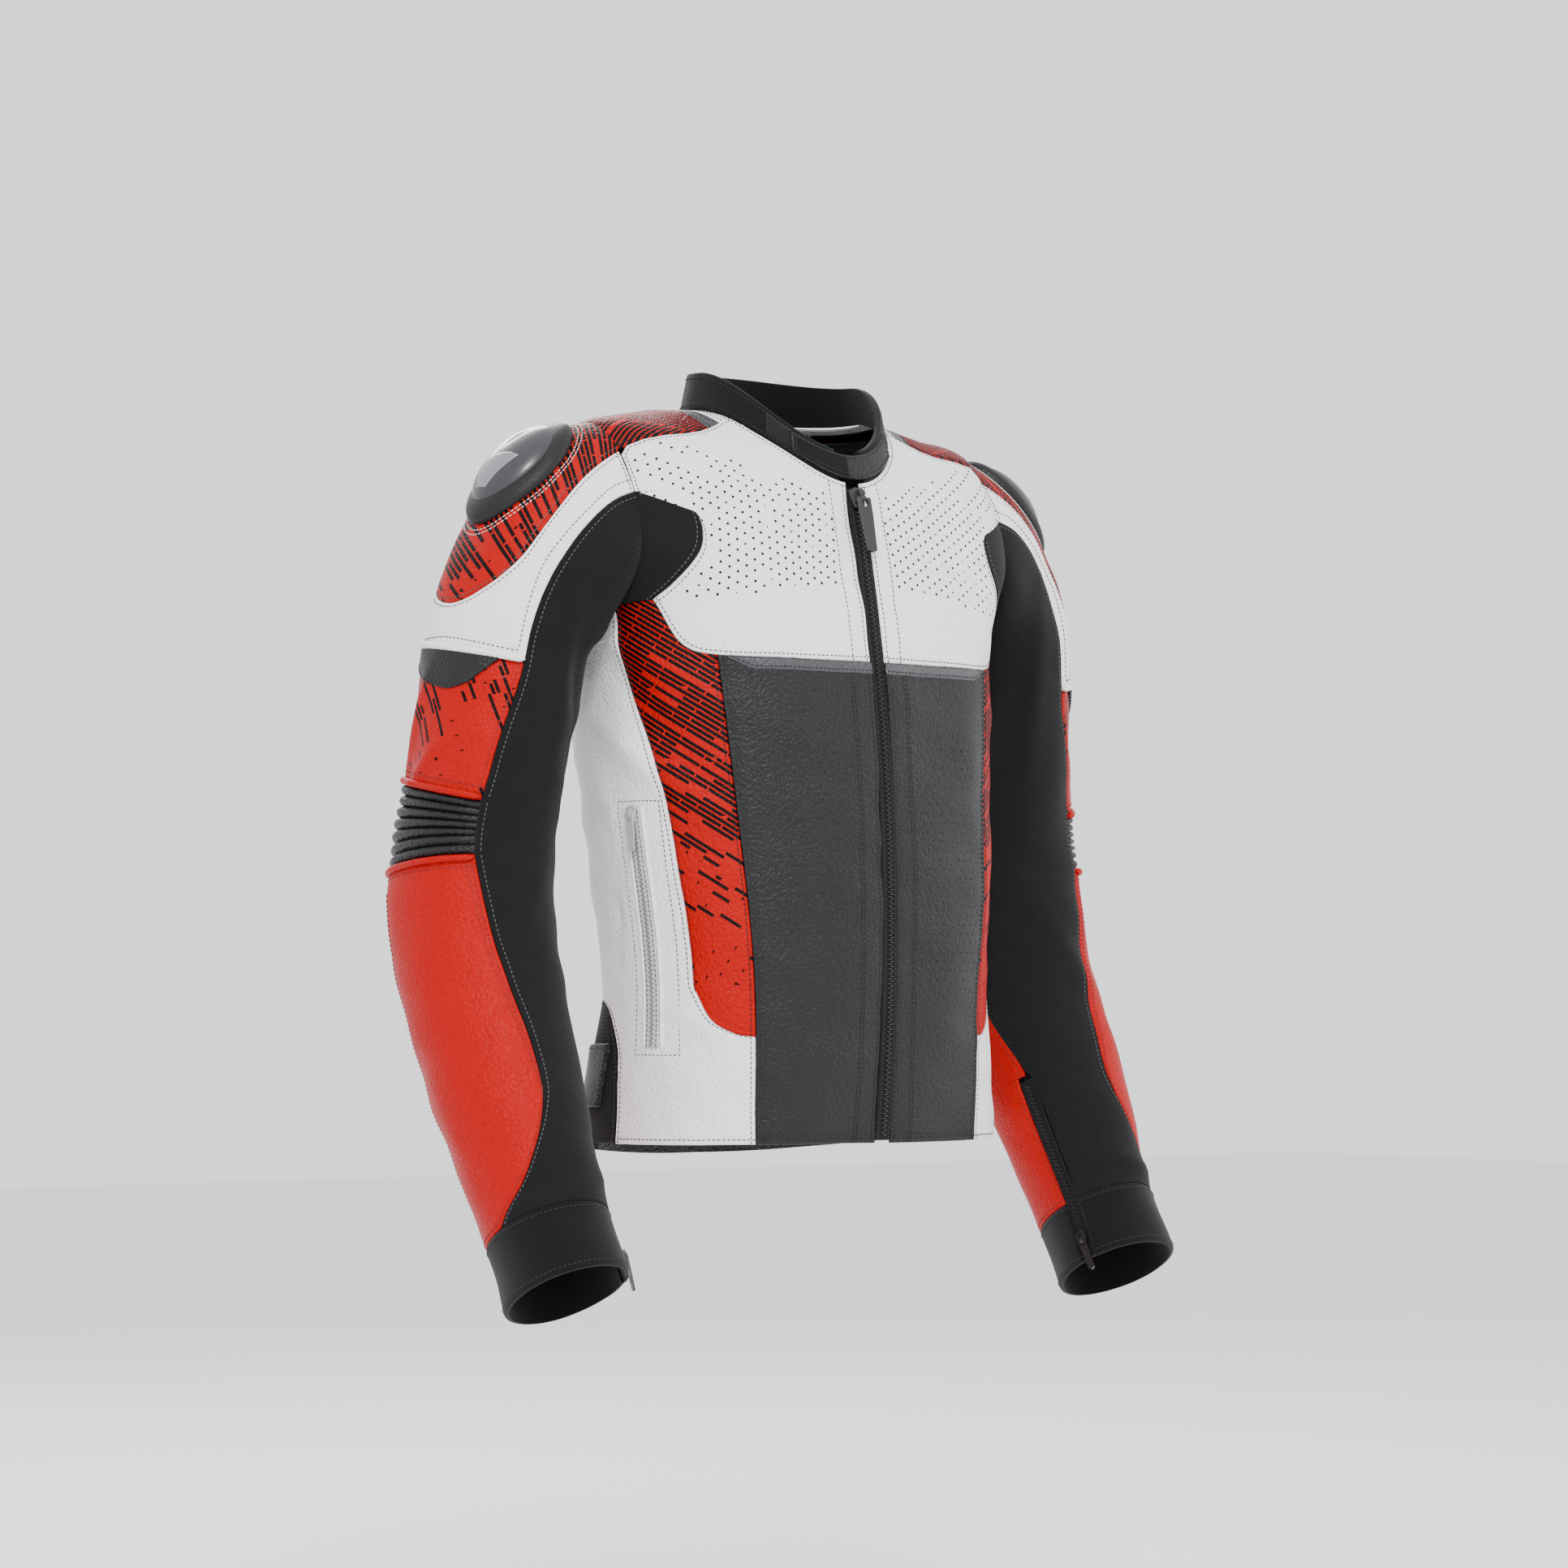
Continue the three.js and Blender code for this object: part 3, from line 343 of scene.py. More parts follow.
body_patches = {
    "yoke_front": patch(chain(yoke_foot()), chain(lobe(), along_armhole(76, 42, 1), saddle_front()),
                        chain(seam(zip_side(1), (31, 1), (62, 1))()), chain(zip_edge(3, 4))),
    "chest_stretch": patch(chain(lobe_foot()), chain(along_armhole(150, 76, 1)), chain(lobe(6, 9)), chain(lobe(0, 6))),
    "belly_panel": patch(chain(hem(0, 1)), chain(belly_side()), chain(yoke_foot(0, 2)), chain(zip_edge(0, 3))),
    "flank_print": patch(chain(flank_foot()), chain(flank_side()), chain(yoke_foot(2, 4), lobe_foot()),
                         chain(belly_side(1, 3))),
    "side_panel": patch(chain(hem(1, 2)), chain(gusset_top(), back_side(1, 5)),
                        chain(along_armhole(150, 205, 2), pit_rear()),
                        chain(belly_side(0, 1), flank_foot(), flank_side())),
    "waist_gusset": patch(chain(hem(2, 3)), chain(back_side(0, 1)), chain(gusset_top(2, 4)), chain(gusset_top(0, 2))),
    "back_panel": patch(chain(hem(3, 4)), chain(mirror_run(back_side())), chain(seam((126, 0.63), (234, 0.63))()),
                        chain(back_side())),
    "yoke_back": patch(chain(seam((126, 0.63), (234, 0.63))()),
                       chain(*map(mirror_run, (pit_rear(2, 0), along_armhole(205, 315, 4), saddle_back()))),
                       chain(neck(4, 6)), chain(pit_rear(2, 0), along_armhole(205, 315, 4), saddle_back())),
    "shoulder_saddle": patch(chain(along_armhole(42, -45, 4)), chain(saddle_back()), chain(neck(2, 4)),
                             chain(saddle_front())),
}
print("body patches", sorted(body_patches))

# %% The seams of the sleeve
START, HEM, ELBOW_FROM, ELBOW_TO, CUFF = 0.0, 0.275, 0.45, 0.535, 0.925
band_inner = seam((43, START), (47, 0.12), (37, 0.185), (4, 0.224), (-40, 0.205), (-58, 0.13), (-46, START))
band_front = seam((76, START), (69.5, 0.05), (67.5, 0.145), (68, HEM), (60, 0.37), (54, ELBOW_FROM))
band_back = seam((-160, HEM), (-116, 0.15), (-68, START))
band_hem = seam((68, HEM), (-8, HEM), (-84, HEM), (-160, HEM))
stretch_back = seam((-160, HEM), (-164, ELBOW_FROM))
forearm_front = seam((54, ELBOW_TO), (74, 0.7), (79, 0.815), (52, 0.885), (10, CUFF))


def beside_zip(turn):
    return seam((-164, ELBOW_TO), (-203, 0.765), (turn - 360, 0.79), (turn - 360, CUFF))


def around(run):
    """The same line reached the other way round the arm: turn becomes turn + 360."""
    f, legs = run
    return lambda s: f(s) + [360, 0], legs


sleeve_patches = {
    "shoulder_print": patch(chain(seam((-46, START), (43, START))()), chain(band_inner(0, 2)), chain(band_inner(4, 2)),
                            chain(band_inner(6, 4))),
    "shoulder_band": patch(chain(band_inner()), chain(seam((-46, START), (-68, START))()),
                           chain(band_front(0, 3), band_hem(), band_back()),
                           chain(seam((43, START), (76, START))())),
    "bicep_print": patch(chain(band_hem()), chain(stretch_back()),
                         chain(seam((54, ELBOW_FROM), (-164, ELBOW_FROM))()), chain(band_front(3, 5))),
    "arm_stretch_upper": patch(chain(seam((76, START), (292, START))()),
                               chain(around(band_back(2, 0)), around(stretch_back())),
                               chain(seam((54, ELBOW_FROM), (196, ELBOW_FROM))()), chain(band_front())),
    "elbow_ribs": span(54, -164, ELBOW_FROM, ELBOW_TO),
    "elbow_stretch": span(54, 196, ELBOW_FROM, ELBOW_TO),
    "forearm_panel": patch(chain(seam((54, ELBOW_TO), (-164, ELBOW_TO))()), chain(beside_zip(163)()),
                           chain(forearm_front(2, 4), seam((10, CUFF), (-197, CUFF))()), chain(forearm_front(0, 2))),
    "arm_stretch_lower": patch(chain(seam((54, ELBOW_TO), (196, ELBOW_TO))()), chain(around(beside_zip(151)())),
                               chain(seam((10, CUFF), (151, CUFF))()), chain(forearm_front())),
    "cuff": span(-197, 151, CUFF, 1),
}
print("sleeve patches", sorted(sleeve_patches))

# %% [markdown]
# ## Materials
# Each finish is one Principled BSDF with a pattern for its grain or weave. Patterns use Object coordinates, in
# metres, except the printed dashes and the weaves, which follow the cut of the panel and so read its own UV map,
# also in metres. A grain finer than the picture can show is drawn a little coarser than it is.

# %% Node helpers
def linear(code):
    """sRGB hex to linear colour: ((c + 0.055) / 1.055)^2.4 above 0.04045, and c / 12.92 below it."""
    c = np.array([int(code[i:i + 2], 16) for i in (1, 3, 5)]) / 255
    return (*np.where(c > 0.04045, ((c + 0.055) / 1.055) ** 2.4, c / 12.92), 1.0)


def node(tree, kind, inputs=None, **settings):
    """Adds one node with its settings; each input is a value or another node's output."""
    n = tree.nodes.new("ShaderNode" + kind)
    for name, value in settings.items():
        setattr(n, name, value)
    for name, value in (inputs or {}).items():
        if isinstance(value, bpy.types.NodeSocket):
            tree.links.new(value, n.inputs[name])
        else:
            n.inputs[name].default_value = value
    return n


def finish(name, **constants):
    """A material of that name, its node tree and its BSDF, with constants on the BSDF's own sockets."""
    m = bpy.data.materials.new(name)
    m.use_nodes = True
    bsdf = m.node_tree.nodes["Principled BSDF"]
    for key, value in constants.items():
        bsdf.inputs[key.replace("_", " ")].default_value = value
    return m, m.node_tree, bsdf


# %% Leather
def leather(name, colour, rough, cell=0.0021, depth=0.5, gloss=0.35, ink=None):
    """Full grain cowhide, tanned, pigmented and rolled: close pebbles of about 2 mm with finer creases between, softly
    glossy, with painted shade that darkens the colour in the valleys between the pebbles. ink is the colour of printed
    dashes, laid in rows along the UV's x, as many of them as the panel's ink attribute asks for."""
    m, t, bsdf = finish(name, Specular_IOR_Level=gloss, IOR=1.5)
    place = node(t, "TexCoord").outputs["Object"]
    drift = node(t, "TexNoise", {"Vector": place, "Scale": 210.0, "Detail": 2.0})
    scatter = node(t, "VectorMath", {0: drift.outputs["Color"], "Scale": 0.0011}, operation="SCALE")
    bent = node(t, "VectorMath", {0: place, 1: scatter.outputs[0]}, operation="ADD")
    pebble = node(t, "TexVoronoi", {"Vector": bent.outputs[0], "Scale": 1 / cell}, feature="SMOOTH_F1")
    fine = node(t, "TexNoise", {"Vector": place, "Scale": 900.0, "Detail": 3.0})
    height = node(t, "Math", {0: fine.outputs[0], 1: 0.3, 2: pebble.outputs["Distance"]}, operation="MULTIPLY_ADD")
    bump = node(t, "Bump", {"Height": height.outputs[0], "Strength": depth, "Distance": 0.0011}, invert=True)
    t.links.new(bump.outputs[0], bsdf.inputs["Normal"])
    cloud = node(t, "TexNoise", {"Vector": place, "Scale": 17.0, "Detail": 4.0})
    shade = node(t, "MapRange", {"Value": cloud.outputs[0], "From Min": 0.3, "From Max": 0.7,
                                 "To Min": rough - 0.05, "To Max": rough + 0.07})
    t.links.new(shade.outputs[0], bsdf.inputs["Roughness"])
    # painted shade: the colour darkens to 86% of itself towards the valleys between the pebbles
    valley_shade_colour = tuple(0.86 * c for c in linear(colour)[:3]) + (1.0,)
    valley_shade = node(t, "MapRange", {"Value": pebble.outputs["Distance"], "From Min": 0.35, "From Max": 0.85})
    base = node(t, "Mix", data_type="RGBA")
    t.links.new(valley_shade.outputs[0], base.inputs[0])
    base.inputs[6].default_value, base.inputs[7].default_value = linear(colour), valley_shade_colour
    colour_out = base.outputs[2]
    if ink:
        cut = node(t, "UVMap", uv_map="cut").outputs[0]
        dense = node(t, "Attribute", attribute_name="ink").outputs["Fac"]
        spread = node(t, "VectorMath", {0: cut, 1: (53.1, 0, 0)}, operation="ADD").outputs[0]
        # rows 3.6 mm apart, the dashes 34 mm and 12.6 mm long before the two sets interrupt each other
        long_row, short_row = [
            node(t, "TexBrick", {"Vector": spread, "Color1": (0, 0, 0, 1), "Color2": (1, 1, 1, 1), "Scale": 1.0,
                                 "Mortar Size": 0.0006, "Mortar Smooth": 0.05, "Brick Width": length,
                                 "Row Height": 0.0036, "Bias": 0.0}, offset=offset, offset_frequency=every)
            for length, offset, every in ((0.034, 0.37, 2), (0.0126, 0.61, 3))]
        more = node(t, "Math", {0: dense, 1: 1.25, 2: 0.12}, operation="MULTIPLY_ADD")
        a = node(t, "Math", {0: long_row.outputs["Color"], 1: dense}, operation="LESS_THAN")
        b = node(t, "Math", {0: short_row.outputs["Color"], 1: more.outputs[0]}, operation="LESS_THAN")
        both = node(t, "Math", {0: a.outputs[0], 1: b.outputs[0]}, operation="MULTIPLY")
        off = node(t, "Math", {0: 1.0, 1: long_row.outputs[1]}, operation="SUBTRACT")
        inked = node(t, "Math", {0: both.outputs[0], 1: off.outputs[0]}, operation="MULTIPLY")
        print_mix = node(t, "Mix", data_type="RGBA")
        t.links.new(inked.outputs[0], print_mix.inputs[0])
        t.links.new(colour_out, print_mix.inputs[6])
        print_mix.inputs[7].default_value = linear(ink)
        colour_out = print_mix.outputs[2]
    t.links.new(colour_out, bsdf.inputs["Base Color"])
    return m


WHITE = leather("white cowhide leather", "#F1F1F1", 0.44, depth=0.8)
RED = leather("red cowhide leather, printed", "#A80000", 0.42, depth=0.8, gloss=0.1, ink="#0C0606")
PLAIN_RED = leather("red cowhide leather", "#A80000", 0.42, depth=0.8, gloss=0.1)
CHARCOAL = leather("charcoal cowhide leather", "#1F1F21", 0.42, depth=0.9, gloss=0.2)
FOIL = leather("grey foil leather", "#3C3C3F", 0.33, depth=0.7, gloss=0.45)
PADDED = leather("dark padded leather", "#1F1E20", 0.45, depth=0.25, gloss=0.2)


# %% Textiles
WAVE = 0.314  # a wave texture of scale s repeats every WAVE / s, in metres


def textile(name, colour, pitch, rough=0.9, depth=0.6, fuzz=0.25):
    """Knitted or woven polyamide: two families of threads cross at the pitch, along the cut of the panel. The eye
    sees a dull, even face with a fine rib, and a faint bloom at grazing angles."""
    m, t, bsdf = finish(name, Base_Color=linear(colour), Roughness=rough, Sheen_Weight=fuzz, Sheen_Roughness=0.5,
                        Specular_IOR_Level=0.12, IOR=1.5)
    cut = node(t, "UVMap", uv_map="cut").outputs[0]
    ribs = node(t, "TexWave", {"Vector": cut, "Scale": WAVE / pitch, "Distortion": 0.6, "Detail": 1.0},
                wave_type="BANDS", bands_direction="DIAGONAL")
    cross = node(t, "TexWave", {"Vector": cut, "Scale": WAVE / pitch / 1.7}, wave_type="BANDS", bands_direction="Y")
    height = node(t, "Math", {0: ribs.outputs[1], 1: cross.outputs[1]}, operation="ADD")
    bump = node(t, "Bump", {"Height": height.outputs[0], "Strength": depth, "Distance": 0.0003})
    t.links.new(bump.outputs[0], bsdf.inputs["Normal"])
    cloud = node(t, "TexNoise", {"Vector": cut, "Scale": 60.0, "Detail": 3.0})
    tint = node(t, "Mix", data_type="RGBA")
    t.links.new(cloud.outputs[0], tint.inputs[0])
    tint.inputs[6].default_value = linear(colour)
    tint.inputs[7].default_value = tuple(1.35 * c for c in linear(colour)[:3]) + (1.0,)
    t.links.new(tint.outputs[2], bsdf.inputs["Base Color"])
    return m


STRETCH = textile("black stretch knit", "#121213", 0.0016, fuzz=0.05)
NEOPRENE = textile("black neoprene with jersey face", "#0A0A0B", 0.0012, rough=0.82, depth=0.4, fuzz=0.1)
TAPE = textile("black zip tape", "#08080A", 0.0011, rough=0.7, depth=0.5, fuzz=0.1)
# painted shade: the white zip tape is coloured light grey for the shade it lies in
WHITE_TAPE = textile("white zip tape greyed by painted shade", "#B4B4B7", 0.0011, rough=0.7, depth=0.5, fuzz=0.1)
MESH = textile("black mesh lining", "#232427", 0.0034, rough=0.95, depth=1.0, fuzz=0.2)
LOOP = textile("hook and loop tape", "#09090A", 0.0016, rough=1.0, depth=1.0, fuzz=0.6)


# %% Moulded and metal parts
def moulded(name, colour, rough, metal=0.0, scale=1400.0, depth=0.12, coat=0.0):
    """A moulded, painted or foamed part: a very fine skin over an even colour, with roughness that varies a little
    where it has been handled."""
    m, t, bsdf = finish(name, Base_Color=linear(colour), Metallic=metal, Coat_Weight=coat, Coat_Roughness=0.15)
    place = node(t, "TexCoord").outputs["Object"]
    skin = node(t, "TexNoise", {"Vector": place, "Scale": scale, "Detail": 2.0})
    bump = node(t, "Bump", {"Height": skin.outputs[0], "Strength": depth, "Distance": 0.0003})
    t.links.new(bump.outputs[0], bsdf.inputs["Normal"])
    cloud = node(t, "TexNoise", {"Vector": place, "Scale": 40.0, "Detail": 3.0})
    shade = node(t, "MapRange", {"Value": cloud.outputs[0], "To Min": max(0.05, rough - 0.08), "To Max": rough + 0.08})
    t.links.new(shade.outputs[0], bsdf.inputs["Roughness"])
    return m


SHELL = moulded("hard moulded polyurethane", "#2A2A2D", 0.34, coat=0.2)
INSERT = moulded("satin silver paint", "#8A8A8E", 0.3, metal=0.7, coat=0.3)
FOAM = moulded("moulded armour foam", "#8E9298", 0.85, scale=500.0, depth=0.5)
SLIDER = moulded("black painted zinc", "#0E0E10", 0.32, metal=0.2, coat=0.4)
WHITE_SLIDER = moulded("white painted zinc", "#BDBDC0", 0.3, metal=0.3, coat=0.4)
TEETH = moulded("black nylon teeth", "#17171A", 0.3)
# painted shade: the white teeth are coloured mid grey
WHITE_TEETH = moulded("white nylon teeth darkened by painted shade", "#6F6F73", 0.35)
HOLE = moulded("shadow in a punched hole", "#161214", 0.95)
GREY_THREAD = moulded("grey sewing thread", "#4C4847", 0.7)
DARK_THREAD = moulded("dark grey sewing thread", "#454547", 0.7)
BLACK_THREAD = moulded("black sewing thread", "#101012", 0.65)
WHITE_THREAD = moulded("pale sewing thread", "#C9C4BE", 0.7)
RED_THREAD = moulded("dark red sewing thread", "#7A1010", 0.7)
print("materials", len(bpy.data.materials))

# %% [markdown]
# ## Making a panel
# A panel is a closed double grid. Its face dips into the seam over the first 2 mm, has a shallow trough where the
# stitches pull it down, and swells between the seams. The grid has extra lines near its edges so that this profile
# is smooth, and a spacing of about 4 mm elsewhere. Stitches and punched holes are small shapes repeated along and
# over it, in the same mesh.

# %% Folds shared by neighbouring panels
rng = np.random.default_rng(11)
WAVES = [(unit(rng.normal(size=3)) * 2 * np.pi / length, rng.uniform(0, 6.28), height)
         for length, height in ((130, 0.9), (95, 0.8), (70, 0.55), (48, 0.35), (34, 0.22), (22, 0.12))
         for _ in range(3)]
# Ridges: middle, direction along, direction across, half length, half width, height; x is the wearer's left.
RIDGES = [
    ((-150, -20, 345), (0.2, -0.9, -0.5), (0, 0.4, 1), 45, 11, 3.0),
    ((-152, -30, 305), (0.1, -0.8, -0.7), (0, 0.6, 1), 50, 12, -2.6),
    ((-150, -25, 270), (0.1, -0.8, -0.6), (0, 0.6, 1), 55, 12, 3.2),
    ((-146, -30, 205), (0.1, -0.8, -0.65), (0, 0.6, 1), 60, 13, 3.0),
    ((-143, -25, 150), (0.1, -0.9, -0.5), (0, 0.5, 1), 50, 10, -2.4),
    ((-145, -30, 100), (0.1, -0.9, -0.35), (0, 0.3, 1), 55, 10, 2.4),
    ((150, -22, 330), (-0.2, -0.9, -0.5), (0, 0.4, 1), 45, 11, 3.0),
    ((148, -28, 240), (-0.1, -0.8, -0.6), (0, 0.6, 1), 55, 13, 3.0),
    ((145, -26, 140), (-0.1, -0.9, -0.4), (0, 0.4, 1), 55, 11, 2.6),
    ((-285, 70, 290), (0.25, -0.5, 0.8), (0, 0.9, 0.5), 45, 7, 3.0),
    ((-290, 50, 262), (0.3, -0.7, 0.6), (0, 0.6, 0.8), 34, 7, 2.6),
    ((285, 70, 285), (-0.25, -0.5, 0.8), (0, 0.9, 0.5), 45, 8, 3.0),
    ((-215, -10, 330), (0.05, -0.2, 1), (1, 0.2, 0), 75, 9, 2.6),
    ((-195, 0, 290), (-0.1, -0.1, 1), (1, 0.2, 0), 60, 8, -2.2),
    ((215, -10, 330), (-0.05, -0.2, 1), (1, -0.2, 0), 75, 9, 2.6),
    ((198, 0, 280), (0.1, -0.1, 1), (1, -0.2, 0), 60, 8, -2.2),
    ((-245, 0, 150), (0.5, -0.2, 0.8), (0.8, 0, -0.6), 45, 9, 2.0),
    ((245, 0, 140), (-0.5, -0.2, 0.8), (0.8, 0, 0.6), 45, 9, 2.0),
    ((-250, -75, -30), (1, 0, 0.25), (0, 0, 1), 40, 6, 2.0),
    ((250, -70, -20), (1, 0, -0.25), (0, 0, 1), 40, 6, 2.0),
    ((0, 120, 180), (1, 0, 0.05), (0, 0, 1), 75, 14, 2.2),
    ((30, 125, 215), (1, 0, -0.2), (0, 0, 1), 60, 12, -1.8),
    ((-60, -105, 60), (1, 0, 0.1), (0, 0, 1), 45, 14, 1.6),
    ((70, -105, 75), (1, 0, -0.15), (0, 0, 1), 45, 14, 1.6),
    ((-100, -60, 395), (0.8, 0, 0.5), (-0.5, 0, 0.8), 35, 11, -1.8),
    ((105, -60, 395), (-0.8, 0, 0.5), (0.5, 0, 0.8), 35, 11, -1.8),
]


def pocket_line(b):
    """Body parameters along the pocket zip, b from its top to its foot."""
    return 80 - 4 * b, 0.475 - 0.34 * b


# The zip seen from the front: its x at POCKET_Z, the height of its middle in mm, and the x it gains per mm of height.
POCKET_Z = 150
ends = [body(*pocket_line(b)) for b in (0.0, 1.0)]
POCKET_X = [np.interp(POCKET_Z, [ends[1][2], ends[0][2]], [ends[1][0], ends[0][0]]),
            (ends[0][0] - ends[1][0]) / (ends[0][2] - ends[1][2])]
print("pocket zip", np.round(ends, 1))


def folds(p):
    """Sum of sines of a point's place, plus ridges: height exp(-(s/length)^2 - (e/width)^2 - (f/60)^2), with s, e
    and f measured along, across and through each ridge, and next to no height along the pocket zips. It depends on
    the place alone, so seams stay closed."""
    out = sum(h * 0.55 * np.sin(p @ k + phase) for k, phase, h in WAVES)
    x, y, z = abs(p[..., 0]), p[..., 1], p[..., 2]
    # calm is 1 on the zip, falls off over 15 mm beside it and over 14 mm past 88 mm above and below its middle
    off = (x - POCKET_X[0] - (z - POCKET_Z) * POCKET_X[1]) / 15
    calm = np.exp(-(off**2) - (np.clip(abs(z - POCKET_Z) - 88, 0, None) / 14) ** 2) * (y < 0)
    for middle, along, across, length, width, height in RIDGES:
        u = unit(np.array(along, float))
        w = np.array(across, float)
        w = unit(w - u * (w @ u))
        d = p - np.array(middle, float)
        s, e, f = d @ u, d @ w, d @ np.cross(u, w)
        out = out + height * np.exp(-((s / length) ** 2) - ((e / width) ** 2) - ((f / 60) ** 2))
    return out * (1 - calm)


# %% Grids and edge profiles
NEAR = np.array([0, 0.5, 1.1, 1.8, 2.6, 3.4, 4.4, 6.0, 8.2])  # mm from an edge


def lines(length, step=4.0):
    """Places of the grid lines from 0 to 1 over a length in mm: close near both ends, then about a step apart."""
    near = NEAR[NEAR < length / 2 - 0.4]
    inner = max(2, int(round((length - 2 * near[-1]) / step)) + 1)
    mm = np.concatenate([near[:-1], np.linspace(near[-1], length - near[-1], inner), (length - near[:-1])[::-1]])
    return mm / length


def rolled(d, edge=1.4, swell=0.6, trough=0.4):
    """Height over the form at d mm from the nearest seam: a quarter round of the edge's depth over 2 mm, a trough
    round 3.2 mm, and a swell that comes in over 14 mm."""
    x = np.clip(d / 2.0, 0, 1)
    return (-edge * (1 - np.sqrt(np.maximum(0, 1 - (1 - x) ** 2))) - trough * np.exp(-(((d - 3.2) / 0.9) ** 2))
            + swell * (1 - np.exp(-((d / 14) ** 2))))


def lay(form, fill, lift=0.0, thick=2.2, step=4.0, profile=rolled, sign=1, crease=1.0, running=()):
    """The panel's grid: places a, b; form parameters p, q; points of the form, the face and the underside; normals;
    distances to the four edges, and d to the nearest. A running edge is no seam: there the leather runs on level."""
    s = np.linspace(0, 1, 33)

    def reach(f):
        pts = form(*np.moveaxis(f, -1, 0))
        return np.linalg.norm(np.diff(pts, axis=0), axis=-1).sum()

    width = np.mean([reach(fill(s, np.full(33, v))) for v in (0.1, 0.5, 0.9)])
    height = np.mean([reach(fill(np.full(33, v), s)) for v in (0.1, 0.5, 0.9)])
    a, b = np.meshgrid(lines(width, step), lines(height, step))
    pq = fill(a, b)
    p, q = pq[..., 0], pq[..., 1]
    base = form(p, q)
    n = outward(form, p, q)
    across = np.cumsum(np.linalg.norm(np.diff(base, axis=1), axis=-1), 1)
    across = np.concatenate([np.zeros((a.shape[0], 1)), across], 1)
    up = np.cumsum(np.linalg.norm(np.diff(base, axis=0), axis=-1), 0)
    up = np.concatenate([np.zeros((1, a.shape[1])), up], 0)
    edges = dict(left=across, right=across[:, -1:] - across, bottom=up, top=up[-1:] - up)
    d = np.minimum.reduce([e for name, e in edges.items() if name not in running])
    fold = crease * folds(base * [sign, 1, 1])
    face = base + n * (lift + profile(d) + fold)[..., None]
    under = base + n * (lift - thick + fold)[..., None]
    return dict(a=a, b=b, p=p, q=q, base=base, n=n, face=face, under=under, edges=edges, d=d, fill=fill, form=form,
                sign=sign)


def quads(*corners):
    """Faces from four arrays of vertex numbers, one array for each corner."""
    return np.stack(corners, -1).reshape(-1, 4)


def closed_sheet(g):
    """Vertices and quads of a face grid, its underside and the walls between them."""
    nb, na = g["a"].shape
    verts = np.concatenate([g["face"].reshape(-1, 3), g["under"].reshape(-1, 3)])
    at = np.arange(nb * na).reshape(nb, na)
    low = at + nb * na
    top = quads(at[:-1, :-1], at[:-1, 1:], at[1:, 1:], at[1:, :-1])
    bottom = quads(low[:-1, :-1], low[1:, :-1], low[1:, 1:], low[:-1, 1:])
    walls = [quads(at[0, 1:], at[0, :-1], low[0, :-1], low[0, 1:]),
             quads(at[-1, :-1], at[-1, 1:], low[-1, 1:], low[-1, :-1]),
             quads(at[:-1, 0], at[1:, 0], low[1:, 0], low[:-1, 0]),
             quads(at[1:, -1], at[:-1, -1], low[:-1, -1], low[1:, -1])]
    faces = np.concatenate([top, bottom, *walls])
    m = nb // 2, na // 2
    du, dv = g["face"][m[0], m[1] + 1] - g["face"][m], g["face"][m[0] + 1, m[1]] - g["face"][m]
    if np.dot(np.cross(du, dv), g["n"][m]) < 0:
        faces = faces[:, ::-1]
    return verts, faces


# %% Stitches, teeth and punched holes
PITCH, STITCH, THREAD = 3.5, 2.3, 0.42  # mm: from stitch to stitch, one stitch's length, the thread's radius


def path_at(g, edge, inset):
    """Points and normals of the panel's face along one edge, at an inset in mm, found between grid lines."""
    d = g["edges"][edge]
    face, n = g["face"], g["n"]
    if edge in ("bottom", "top"):
        d, face, n = d.T, np.swapaxes(face, 0, 1), np.swapaxes(n, 0, 1)
    if edge in ("right", "top"):
        d, face, n = d[:, ::-1], face[:, ::-1], n[:, ::-1]
    k = np.clip((d < inset).sum(1) - 1, 0, d.shape[1] - 2)
    i = np.arange(len(d))
    f = ((inset - d[i, k]) / np.maximum(d[i, k + 1] - d[i, k], 1e-6))[:, None]
    return face[i, k] * (1 - f) + face[i, k + 1] * f, unit(n[i, k] * (1 - f) + n[i, k + 1] * f)


def resample(points, normals, pitch, trim=2.0):
    """Points, normals and directions spaced by the pitch along a polyline, clear of both ends."""
    s = np.concatenate([[0], np.cumsum(np.linalg.norm(np.diff(points, axis=0), axis=-1))])
    if s[-1] < 2 * trim + pitch:
        return np.zeros((0, 3)), np.zeros((0, 3)), np.zeros((0, 3))
    t = np.arange(trim, s[-1] - trim, pitch)
    pick = lambda w, x: np.stack([np.interp(x, s, w[:, k]) for k in range(3)], -1)
    ahead = unit(pick(points, t + 0.5) - pick(points, t - 0.5))
    n = unit(pick(normals, t))
    return pick(points, t), unit(n - ahead * np.sum(n * ahead, -1, keepdims=True)), ahead


def capsules(centres, normals, along, length, radius, raise_by=0.15):
    """A short thread for each centre: four rings of five corners, the end rings smaller, with closed ends."""
    turn = np.arange(5) * 2 * np.pi / 5
    x = np.array([-0.5, -0.36, 0.36, 0.5]) * length
    r = np.array([0.35, 1.0, 1.0, 0.35]) * radius
    side = np.cross(normals, along)
    ring = (along[:, None, None] * x[None, :, None, None]
            + side[:, None, None] * (r[:, None] * np.cos(turn))[None, ..., None]
            + normals[:, None, None] * ((r[:, None] * np.sin(turn)) + raise_by)[None, ..., None])
    verts = (centres[:, None, None] + ring).reshape(-1, 3)
    k = np.arange(5)
    nxt = (k + 1) % 5
    sides = np.concatenate([quads(5 * j + k, 5 * j + nxt, 5 * j + 5 + nxt, 5 * j + 5 + k) for j in range(3)])
    caps = np.array([[4, 3, 2, 1, 0], [15, 16, 17, 18, 19]])
    start = 20 * np.arange(len(centres))[:, None, None]
    return verts, [(sides[None] + start).reshape(-1, 4), (caps[None] + start).reshape(-1, 5)]


